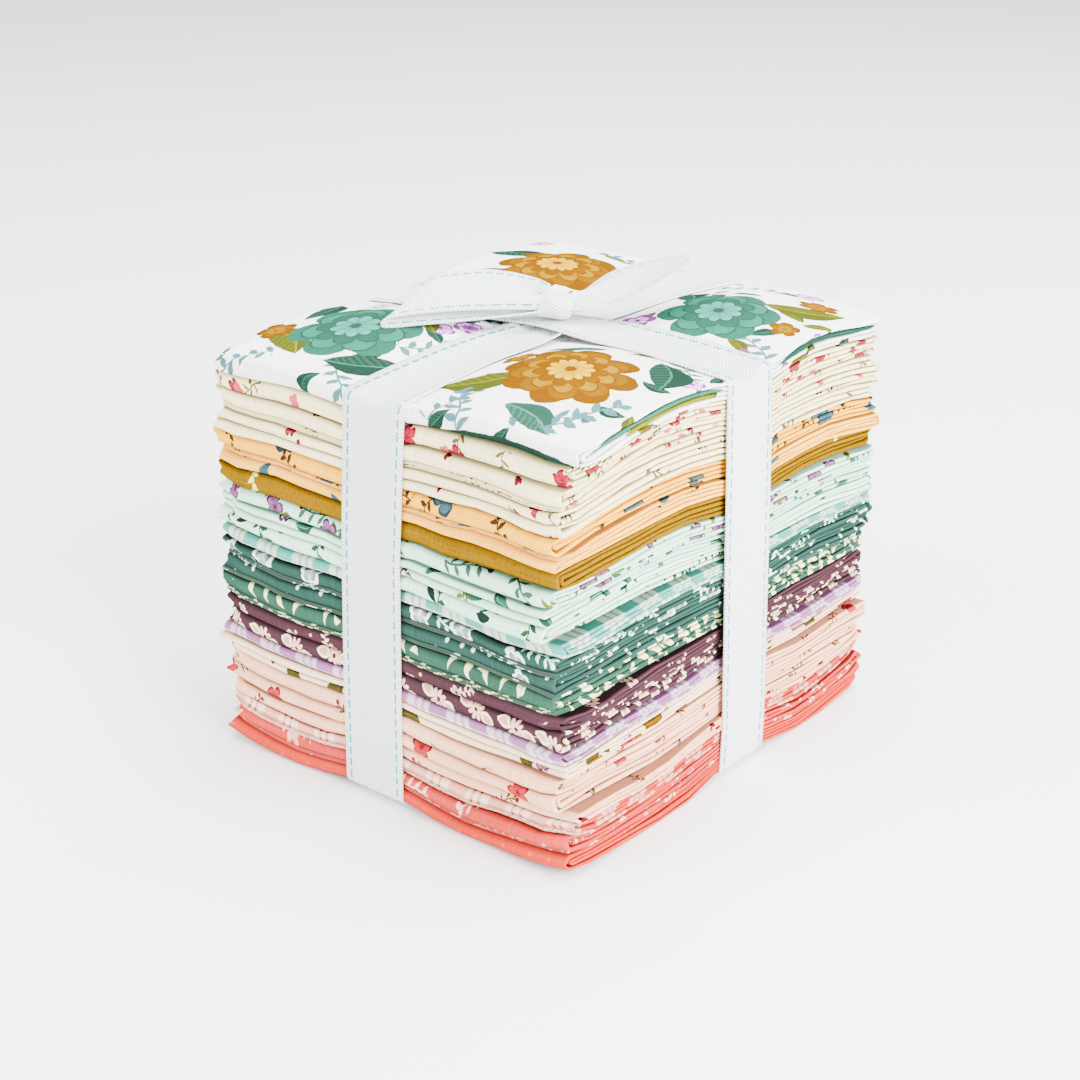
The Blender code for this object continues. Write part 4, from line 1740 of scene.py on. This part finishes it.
@dataclass
class Looks:
    """Writes the materials of the cottons, of the tape and of the stage."""

    cotton_finish: CottonFinish = CottonFinish()
    tape_finish: TapeFinish = TapeFinish()
    paper_finish: PaperFinish = PaperFinish()

    def __post_init__(self) -> None:
        """Builds the shared groups."""
        self.weave = weave_group()
        self.scatter = scatter_group()
        self.plaid = plaid_group()
        flower, leaf, sprig = flower_group(), leaf_group(), sprig_group()
        self.motifs = {
            Motif.FLOWER: flower,
            Motif.DOT: flower,
            Motif.LEAF: leaf,
            Motif.SPRIG: sprig,
        }

    @staticmethod
    def begin(name: str) -> tuple[Graph, bpy.types.Node]:
        """Starts a material.

        Args:
            name: the material's name.

        Returns:
            Its graph and its surface node.
        """
        made = bpy.data.materials.new(name)
        made.use_nodes = True
        made.node_tree.nodes.clear()
        graph = Graph(made.node_tree)
        surface = graph.node("ShaderNodeBsdfPrincipled")
        end = graph.node("ShaderNodeOutputMaterial")
        made.node_tree.links.new(surface.outputs[0], end.inputs[0])
        return graph, surface

    def draw(self, graph: Graph, vector: Term, layer: Layer, below: object) -> Term:
        """One layer of motifs over what is below it.

        Args:
            graph: the material's graph.
            vector: the flat cloth's coordinates.
            layer: the motifs.
            below: the colour so far.

        Returns:
            The colour with the layer drawn on it.
        """
        streak_depth, seed_slope = 0.8, 1.7
        if layer.place is None:
            moved = graph.vector("ADD", vector, (layer.seed, layer.seed * seed_slope, 0.0))
            spots = graph.call(
                self.scatter,
                vector=moved,
                spacing=layer.spacing,
                jitter=layer.jitter,
                turn=layer.turn,
                angle=layer.angle,
            )
            local = spots["Local"]
        else:
            moved = graph.vector("SUBTRACT", vector, (*layer.place, 0.0))
            local = graph.spin(moved, layer.angle)
            spots = None
        if layer.shift:
            local = graph.vector("SUBTRACT", local, (layer.shift, 0.0, 0.0))
        values: dict[str, object] = {"local": local, "size": layer.size}
        if layer.motif in (Motif.FLOWER, Motif.DOT):
            values["petals"] = layer.petals
            values["depth"] = 0.0 if layer.motif is Motif.DOT else layer.depth
        else:
            values["slim"] = layer.slim
        if layer.motif is Motif.LEAF:
            values["curve"] = layer.curve
        shape = graph.call(self.motifs[layer.motif], **values)
        mask = shape["Shape"]
        if spots is not None and layer.keep < 1:
            mask = mask * graph.inside(layer.keep - spots["Chance"], 0.001)
        colour: object = linear(layer.colour)
        if layer.accent:
            colour = graph.mix(shape["Streak"] * streak_depth, colour, linear(layer.accent))
            colour = graph.mix(shape["Heart"], colour, linear(layer.accent))
        return graph.mix(mask, below, colour)

    def ground(self, graph: Graph, vector: Term, look: Print) -> object:
        """The colour under a print's motifs.

        Args:
            graph: the material's graph.
            vector: the flat cloth's coordinates.
            look: the print.

        Returns:
            One colour, or the woven check.
        """
        colour = linear(look.ground)
        if look.plaid is None:
            return colour
        return graph.call(
            self.plaid,
            vector=vector,
            pitch=look.plaid.pitch,
            ground=colour,
            wide=linear(look.plaid.wide),
            narrow=linear(look.plaid.narrow),
        )["Color"]

    def cotton(self, name: str, look: Print, back: bool) -> None:
        """Writes one side of one cotton.

        Args:
            name: the material's name.
            look: the cotton's print.
            back: whether it is the side that isn't printed.
        """
        finish = self.cotton_finish
        graph, surface = self.begin(name)
        vector = self.flat_cloth(graph)
        weave = graph.call(self.weave, vector=vector, pitch=finish.pitch)
        _, cloud = graph.noise(vector, finish.drift_scale, 2.0)
        drift = graph.vector("SUBTRACT", cloud, (0.5, 0.5, 0.5))
        drift = graph.vector("MULTIPLY", drift, (look.unevenness * MM,) * 3)
        drawn = graph.vector("ADD", vector, drift)
        colour = self.ground(graph, drawn, look)
        for layer in look.layers:
            colour = self.draw(graph, drawn, layer, colour)
        if back:
            colour = graph.mix(finish.reverse_fade, colour, linear(finish.reverse))
        # Painted crease shade: the colour is deepened and darkened where the cloth runs in between
        # folds, by the point attribute set on each cloth
        inner = graph.node("ShaderNodeAttribute", attribute_name="crease_shade")
        crease_shade = Term(graph, inner.outputs["Fac"])
        deep = graph.mix(crease_shade * finish.crease_shade_depth, colour, colour, "MULTIPLY")
        dye, _ = graph.noise(vector, finish.dye_scale, 4.0)
        # Multiplier of the weave's real slub tone and painted relief shading, the real uneven dye,
        # and the painted crease shade
        shade = weave["Tone And Shading"] * (1.0 - finish.dye_depth / 2 + dye * finish.dye_depth)
        shade = shade * (1.0 - crease_shade * finish.crease_shade_darkening)
        graph.feed(surface.inputs["Base Color"], graph.mix(1.0, deep, shade, "MULTIPLY"))
        surface.inputs["Roughness"].default_value = finish.roughness
        surface.inputs["Specular IOR Level"].default_value = 0.0
        crumple, _ = graph.noise(vector, finish.crumple_scale, 4.0)
        self.bump(graph, surface, weave["Height"] * finish.weave + crumple * finish.crumple)

    @staticmethod
    def flat_cloth(graph: Graph) -> Term:
        """The flat cloth's coordinates, in metres."""
        return Term(graph, graph.node("ShaderNodeUVMap", uv_map="cloth").outputs[0])

    @staticmethod
    def bump(graph: Graph, surface: bpy.types.Node, height: Term) -> None:
        """Lets a height tilt the surface's shading.

        Args:
            graph: the material's graph.
            surface: its surface node.
            height: the height in metres.
        """
        strength = 0.7
        made = graph.node("ShaderNodeBump")
        made.inputs["Strength"].default_value = strength
        made.inputs["Distance"].default_value = 1.0
        graph.feed(made.inputs["Height"], height)
        graph.feed(surface.inputs["Normal"], Term(graph, made.outputs[0]))

    def tape(self) -> None:
        """Writes the tape's material."""
        finish = self.tape_finish
        graph, surface = self.begin("ribbon_tape")
        vector = self.flat_cloth(graph)
        along, across = graph.split(vector)
        zigzag = abs(graph.math("WRAP", across / finish.zigzag_width, 1.0, -1.0))
        slanted = along + zigzag * finish.zigzag_depth
        twill = 0.5 + 0.5 * graph.math("SINE", slanted / finish.twill_pitch * 2 * math.pi)
        thread = abs(graph.math("SINE", along * math.pi / finish.thread_pitch))
        from_edge = TAPE_WIDTH / 2 - abs(across)
        dash = graph.math("WRAP", along / finish.stitch_pitch, 1.0, 0.0)
        stitch = graph.inside(finish.stitch_length / 2 - abs(dash - 0.5), 0.03)
        beside = abs(from_edge - finish.stitch_from_edge)
        stitch = stitch * graph.inside(finish.stitch_half_width - beside)
        # Painted shade in the twill's grooves, up to 0.7 of the way to the grey-blue
        body = graph.mix(twill * 0.7, linear(finish.white), linear(finish.twill_groove_shade))
        colour = graph.mix(stitch, body, linear(finish.thread))
        graph.feed(surface.inputs["Base Color"], colour)
        surface.inputs["Roughness"].default_value = finish.roughness
        surface.inputs["Specular IOR Level"].default_value = finish.gloss
        lump, _ = graph.noise(vector, finish.lump_scale, 3.0)
        edge = graph.inside(finish.selvedge - from_edge, 0.0002)
        height = twill * 0.00012 + thread * 0.00003 + lump * 0.0003 + edge * 0.00006
        self.bump(graph, surface, height + stitch * 0.00015)

    def floor(self) -> None:
        """Writes the floor's material."""
        _, surface = self.begin("studio_paper")
        surface.inputs["Base Color"].default_value = linear(self.paper_finish.colour)
        surface.inputs["Roughness"].default_value = self.paper_finish.roughness

    def build(self) -> None:
        """Writes every material."""
        for name, look in prints().items():
            self.cotton(f"{name}_face", look, back=False)
            self.cotton(f"{name}_back", look, back=True)
        self.tape()
        self.floor()


def quarter_of(place: tuple[float, float]) -> int:
    """Which quarter of the top cloth a flat place lies in; the quarters meet under the knot."""
    middle = top_place(0.0, 0.0)
    return int(place[0] > middle[0]) + 2 * int(place[1] > middle[1])


def large_floral() -> dict[str, Print]:
    """The top cloth's print, in four quarters, by the names of their looks.

    Returns:
        The four prints by name.
    """
    gold = ("#633F01", "#704D01", "#8B6A01", "#674401", "#CEA301")
    teal = ("#235948", "#266C57", "#224D40", "#408F7D")
    lilac = ("#7F3789", "#F3ABF3", "#953D9F")
    olive, olive_vein, green, green_vein = "#434918", "#747201", "#1C3329", "#2F634F"
    scattered = (
        Layer(
            Motif.SPRIG, BLUE_GREY, 0.017, 0.027, accent="#235948", slim=0.45, keep=0.6, seed=0.3
        ),
        Layer(Motif.LEAF, olive, 0.009, 0.021, accent=olive_vein, slim=0.4, keep=0.45, seed=0.72),
        Layer(Motif.LEAF, green, 0.008, 0.018, accent=green_vein, slim=0.45, keep=0.5, seed=0.47),
        *posy("#F3ABF3", "#73327C", 0.0078, 0.027, keep=0.5, seed=0.18),
    )
    placed = (
        blade(-44, -50, 22, olive, olive_vein, 0.5),
        blade(-17, -54, 20, green, green_vein, 2.6),
        blade(-50, -30, 17, green, green_vein, 1.4),
        blade(-23, -25, 15, olive, olive_vein, 0.3),
        spray(-44, -16, 20, "#315A60", 1.4),
        *bloom(-32, -40, 33, teal, TEAL_VEIN, 6),
        *bloom(-50, -4, 10, lilac, LILAC_VEIN, 5),
        *bloom(-52, -47, 11, gold[:3], GOLD_VEIN, 5),
        *bloom(-15, -17, 9, lilac, LILAC_VEIN, 5),
        blade(48, -20, 22, green, green_vein, 1.0),
        blade(16, -50, 22, olive, olive_vein, 2.7),
        blade(38, -58, 18, "#25473A", "#3D7D65", 0.3),
        blade(22, -21, 16, "#25473A", "#3D7D65", 2.3),
        spray(47, -52, 20, BLUE_GREY, 2.2),
        spray(19, -61, 16, BLUE_GREY, 1.2),
        *bloom(32, -37, 33, gold, GOLD_VEIN, 8),
        *bloom(51, -2, 9, gold[:3], GOLD_VEIN, 5),
        *bloom(14, -33, 9, gold[:3], GOLD_VEIN, 5),
        blade(-46, 42, 22, green, green_vein, 0.2),
        blade(-12, 48, 19, olive, olive_vein, 2.3),
        blade(-42, 20, 16, olive, olive_vein, 2.9),
        spray(-20, 58, 20, BLUE_GREY, 0.3),
        *bloom(-27, 34, 34, gold, GOLD_VEIN, 8),
        blade(46, 42, 22, olive, olive_vein, 2.4),
        blade(15, 38, 18, green, green_vein, 0.9),
        spray(22, 56, 20, BLUE_GREY, 0.3),
        *bloom(31, 25, 31, teal, TEAL_VEIN, 6),
        *bloom(14, 14, 10, lilac[:2], LILAC_VEIN, 5),
        *bloom(48, 8, 9, lilac[:2], LILAC_VEIN, 5),
        *bloom(49, 27, 8, gold[:3], GOLD_VEIN, 5),
        *bloom(44, 52, 11, gold[:3], GOLD_VEIN, 6),
    )
    front_turn, right_turn = 395.2, 340.3
    placed += tuple(
        Layer(
            Motif.LEAF, colour, size * MM, accent=vein, slim=slim, curve=0.0, angle=angle, place=(x
            * MM, y * MM),
        )
        for colour, vein, size, slim, angle, x, y in (
            (green, green_vein, 44, 0.1, 0.0, top_place(37.0, 0.0)[0] / MM, front_turn),
            (green, green_vein, 52, 0.07, math.pi / 2, right_turn, 158),
            (olive, olive_vein, 36, 0.08, math.pi / 2, right_turn, 98),
            ("#235948", TEAL_VEIN, 48, 0.08, math.pi / 2, right_turn, 231),
        )
    )
    quarters = {}
    for index, name in enumerate(TOP_LOOKS):
        here = tuple(layer for layer in placed if quarter_of(layer.place) == index)
        quarters[name] = Print(WHITE, scattered + here, unevenness=0.8)
    return quarters


def prints() -> dict[str, Print]:
    """What each cotton has on it, by the name of its look.

    Returns:
        The prints by name.
    """
    flower, leaf, sprig, dot = Motif.FLOWER, Motif.LEAF, Motif.SPRIG, Motif.DOT
    return {
        **large_floral(),
        "cream_posy": printed(
            CREAM,
            Layer(sprig, "#625A2E", 0.010, 0.014, accent=WINE, slim=0.28, seed=0.1, keep=0.7),
            *posy(
                "#A31C39", "#721224", 0.0056, 0.015, depth=0.5, jitter=0.35, seed=0.5025,
                keep=0.6,
            ),
            Layer(flower, "#CA4758", 0.0034, 0.012, petals=4, seed=0.37, keep=0.4),
        ),
        "cream_sprig": printed(
            CREAM,
            Layer(sprig, "#694C33", 0.010, 0.015, accent="#83172C", slim=0.22, seed=0.4, keep=0.6),
            Layer(flower, "#721224", 0.0022, 0.009, petals=3, depth=0.6, seed=0.8, keep=0.4),
            Layer(leaf, "#B84450", 0.004, 0.013, accent=CREAM, slim=0.6, seed=0.26, keep=0.4),
        ),
        "cream_bud": printed(
            CREAM,
            Layer(sprig, "#4C4628", 0.010, 0.016, accent="#721224", slim=0.28, seed=0.9, keep=0.6),
            *posy("#B72D47", "#77202E", 0.0044, 0.016, depth=0.45, seed=0.2, keep=0.6),
        ),
        "peach_leaf": printed(
            "#F3AD1F",
            Layer(sprig, "#3A261A", 0.010, 0.017, accent="#3A261A", slim=0.42, seed=0.6, keep=0.6),
            *posy(
                "#395C65", "#28363C", 0.0085, 0.026, petals=4, depth=0.5, jitter=0.35,
                seed=0.1537, keep=0.6,
            ),
        ),
        "peach_branch": printed(
            "#F3B341",
            Layer(sprig, "#342218", 0.009, 0.016, accent="#5F3618", slim=0.4, seed=0.25, keep=0.6),
            Layer(leaf, "#34555D", 0.0062, 0.022, accent="#28363C", slim=0.5, seed=0.65, keep=0.5),
        ),
        "mustard": printed(
            "#7A5901",
            Layer(dot, "#6F4D01", 0.0005, 0.0009, jitter=1.0, seed=0.05, keep=0.5),
            Layer(sprig, "#F3F27D", 0.010, 0.022, slim=0.42, jitter=0.35, seed=0.3532, keep=0.6),
        ),
        "mint_blossom": printed(
            MINT,
            Layer(sprig, "#335A48", 0.013, 0.018, accent=PLUM, slim=0.34, seed=0.45, keep=0.7),
            *posy("#8E5187", PLUM, 0.0062, 0.018, depth=0.5, jitter=0.35, seed=0.85, keep=0.6),
            Layer(leaf, "#646918", 0.0045, 0.015, slim=0.4, seed=0.22, keep=0.5),
        ),
        "mint_leaf": printed(
            MINT,
            Layer(leaf, "#27473C", 0.006, 0.012, accent="#4E9C7F", slim=0.42, seed=0.55, keep=0.8),
            Layer(sprig, "#59621F", 0.010, 0.019, slim=0.3, seed=0.95, keep=0.6),
            *posy("#F3C5F3", PLUM, 0.0052, 0.021, seed=0.05, keep=0.5),
        ),
        "mint_stem": printed(
            "#C3F0D1",
            Layer(sprig, "#204034", 0.012, 0.017, accent="#646918", slim=0.34, seed=0.11, keep=0.7),
            Layer(leaf, "#192B25", 0.0042, 0.013, slim=0.5, seed=0.61, keep=0.8),
        ),
        "aqua_plaid": Print("#F3F3DD", plaid=Plaid(0.0125, "#489E91", "#31716A"), unevenness=0.1),
        "teal_flower": printed(
            DEEP_TEAL,
            Layer(sprig, "#C0F3DD", 0.010, 0.014, slim=0.36, seed=0.31, keep=0.6),
            *(
                Layer(flower, colour, size, 0.016, accent=accent, jitter=0.35, seed=0.715)
                for colour, accent, size in (
                    ("#F3F3F3", "", 0.0072), ("#376C5B", "#F3F3F3", 0.005)
                )
            ),
        ),
        "teal_cluster": printed(
            DEEP_TEAL,
            Layer(flower, "#EAF3EB", 0.0052, 0.0085, seed=0.21, keep=0.55),
            Layer(flower, DEEP_TEAL, 0.0034, 0.0085, accent="#EAF3EB", seed=0.21, keep=0.55),
            Layer(dot, "#EAF3EB", 0.0011, 0.0036, seed=0.51, keep=0.45),
        ),
        "green_vine": printed(
            "#305344",
            Layer(
                leaf, "#F3F3B5", 0.0050, 0.0052, slim=0.3, curve=1.1, jitter=0.35, turn=0.3,
                angle=0.9, seed=0.41, keep=0.85,
            ),
            Layer(
                leaf, "#F3F3B5", 0.0026, 0.0041, slim=0.4, curve=0.9, jitter=0.8, seed=0.66,
                keep=0.35,
            ),
            unevenness=0.3,
        ),
        "plum_dot": printed(
            PLUM,
            Layer(sprig, "#F3C6B5", 0.007, 0.0145, slim=0.5, jitter=0.35, seed=0.9129, keep=0.6),
            Layer(
                flower, "#F3C6B5", 0.0036, 0.0145, accent=PLUM, depth=0.55, jitter=0.35,
                seed=0.171, keep=0.5,
            ),
            Layer(dot, "#F0B2A2", 0.0009, 0.005, seed=0.81, keep=0.4),
        ),
        "plum_medallion": Print(
            PLUM,
            tuple(
                Layer(
                    motif, colour, size, 0.0118, petals=8, depth=depth, slim=slim, curve=curve,
                    shift=shift, jitter=0.22, turn=0.12, seed=0.3316,
                )
                for motif, colour, size, depth, slim, curve, shift in (
                    (leaf, "#F3EEC3", 0.0046, 0, 0.62, 0.0, 0.0034),
                    (leaf, "#D29986", 0.0032, 0, 0.5, 0.0, 0.0034),
                    (leaf, "#F3EEC3", 0.0046, 0, 0.62, 0.0, -0.0034),
                    (leaf, "#D29986", 0.0032, 0, 0.5, 0.0, -0.0034),
                    (flower, "#F3C3A9", 0.0052, 0.85, 0, 0, 0.0),
                    (dot, PLUM, 0.0011, 0, 0, 0, 0.0),
                )
            )
            + (
                Layer(
                    leaf, "#F3EEC3", 0.0044, 0.0118, slim=0.34, curve=1.3, shift=0.0062,
                    jitter=0.22, turn=0.12, angle=1.57, seed=0.3316,
                ),
            ),
            unevenness=0.2,
        ),
        "lilac_plaid": Print("#F3E0F1", plaid=Plaid(0.0125, "#97658E", "#654661"), unevenness=0.1),
        "blush_floral": printed(
            "#F3D3B2",
            Layer(leaf, "#423C19", 0.010, 0.015, accent="#575021", slim=0.5, seed=0.43, keep=0.6),
            *posy("#B63638", WINE, 0.0088, 0.020, seed=0.13, keep=0.6),
            *posy("#775201", "#60400B", 0.0075, 0.022, petals=6, seed=0.63, keep=0.5),
            *posy("#AE6095", "#573352", 0.005, 0.018, seed=0.83, keep=0.5),
        ),
        "pink_plain": printed(
            BLUSH,
            Layer(sprig, "#724833", 0.010, 0.018, accent=WINE, slim=0.25, seed=0.53, keep=0.5),
            *posy("#B63638", WINE, 0.0046, 0.021, seed=0.93, keep=0.5),
        ),
        "pink_rose": printed(
            BLUSH,
            Layer(sprig, "#4E4E1E", 0.010, 0.018, accent=WINE, slim=0.32, seed=0.73, keep=0.6),
            *posy("#BC3939", WINE, 0.0064, 0.017, depth=0.45, jitter=0.35, seed=0.03, keep=0.6),
        ),
        "pink_bud": printed(
            BLUSH,
            Layer(sprig, "#443A22", 0.009, 0.014, accent=WINE, slim=0.28, seed=0.23, keep=0.6),
            Layer(flower, "#6B1223", 0.003, 0.012, petals=3, seed=0.77, keep=0.4),
        ),
        "coral_plaid": Print("#F3D2BA", plaid=Plaid(0.0125, "#C33E2D", "#AA342A"), unevenness=0.1),
        "coral_sprig": printed(
            "#C24039",
            Layer(sprig, SHELL, 0.010, 0.015, slim=0.36, seed=0.37, keep=0.6),
            Layer(flower, SHELL, 0.0046, 0.016, accent="#C24039", seed=0.19, keep=0.5),
            Layer(dot, SHELL, 0.0012, 0.006, seed=0.57, keep=0.4),
        ),
        "coral_plain": printed(
            "#C33C2C", Layer(dot, "#E44A37", 0.0009, 0.004, seed=0.47, keep=0.3)
        ),
    }


@dataclass(frozen=True)
class SoftLight:
    """A square light that looks at the bundle; place and size in metres, power in watts."""

    name: str
    place: tuple[float, float, float]
    size: float
    power: float


@dataclass
class Studio:
    """The pale floor, the soft lights and the photograph's camera.

    shift is that from the stack's own middle to the frame's origin. azimuth and elevation are in
    degrees, lens and sensor in millimetres, and distance, target and floor_half in metres.
    """

    shift: Vector
    azimuth: float = 39.59
    elevation: float = 22.67
    distance: float = 523.76 * MM
    lens: float = 66.67
    sensor: float = 36.0
    target_back: float = 3.98 * MM
    target_height: float = 49.7 * MM
    aim_height: float = 0.05
    floor_half: float = 3.0
    ambient: float = 1.5
    lights: tuple[SoftLight, ...] = (
        SoftLight("left_light", (-0.5, -0.85, 0.6), 0.8, 25.0),
        SoftLight("right_light", (0.95, -0.1, 0.5), 0.7, 56.0),
        SoftLight("top_light", (0.1, 0.3, 1.1), 1.0, 44.0),
    )

    def floor(self) -> None:
        """Lays the floor that the bundle stands on."""
        bm = bmesh.new()
        bmesh.ops.create_grid(bm, x_segments=2, y_segments=2, size=self.floor_half)
        mesh = bpy.data.meshes.new("studio_floor")
        bm.to_mesh(mesh)
        bm.free()
        made = bpy.data.objects.new("studio_floor", mesh)
        made.data.materials.append(bpy.data.materials["studio_paper"])
        bpy.context.scene.collection.objects.link(made)

    def light(self, lamp: SoftLight) -> None:
        """Sets up a soft light that looks at the bundle.

        Args:
            lamp: the light.
        """
        data = bpy.data.lights.new(lamp.name, "AREA")
        data.size = lamp.size
        data.energy = lamp.power
        made = bpy.data.objects.new(lamp.name, data)
        made.location = lamp.place
        aim = Vector((0.0, 0.0, self.aim_height)) - Vector(lamp.place)
        made.rotation_euler = aim.to_track_quat("-Z", "Y").to_euler()
        bpy.context.scene.collection.objects.link(made)

    def camera(self) -> None:
        """Sets up the camera at the photograph's angle."""
        turn, rise = math.radians(self.azimuth), math.radians(self.elevation)
        away = Vector(
            (math.sin(turn) * math.cos(rise), -math.cos(turn) * math.cos(rise), math.sin(rise))
        )
        back = Vector((math.cos(turn), math.sin(turn), 0.0)) * -self.target_back
        target = back + Vector((0.0, 0.0, self.target_height))
        data = bpy.data.cameras.new("photo_camera")
        data.lens = self.lens
        data.sensor_width = self.sensor
        data.clip_start = 0.01
        made = bpy.data.objects.new("photo_camera", data)
        made.location = target + away * self.distance + self.shift
        made.rotation_euler = (-away).to_track_quat("-Z", "Y").to_euler()
        bpy.context.scene.collection.objects.link(made)
        bpy.context.scene.camera = made

    def build(self) -> None:
        """Sets up the whole stage."""
        self.floor()
        self.camera()
        for lamp in self.lights:
            self.light(lamp)
        world = bpy.data.worlds.new("studio_world")
        world.use_nodes = True
        back = world.node_tree.nodes["Background"]
        back.inputs["Color"].default_value = (1.0, 1.0, 1.0, 1.0)
        back.inputs["Strength"].default_value = self.ambient
        bpy.context.scene.world = world


def stack_shift() -> Vector:
    """Shift from the stack's own middle to the frame's origin, read from the solid bands.

    Returns:
        The shift in metres.
    """
    long_low, long_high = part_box("ribbon_long_band")
    cross_low, cross_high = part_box("ribbon_cross_band")
    return Vector(((long_low.x + long_high.x) / 2, (cross_low.y + cross_high.y) / 2, 0.0))


def report(pieces: list[bpy.types.Object]) -> None:
    """Logs the name and the faces of each piece, before its thickness is added."""
    for piece in pieces:
        log.info("%s: %d faces", piece.name, len(piece.data.polygons))


def main() -> None:
    """Builds the bundle's looks and the stage."""
    logging.basicConfig(level=logging.INFO)
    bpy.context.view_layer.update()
    shift = stack_shift()
    Looks().build()
    maker = MeshMaker(shift)
    drape = Drape()
    cloths = Stack(maker, drape).build()
    report(cloths)
    ribbon = Ribbon(maker, drape, cloths)
    report(ribbon.build())
    report(Bow(ribbon).build())
    Studio(shift).build()


if __name__ == "__main__":
    main()
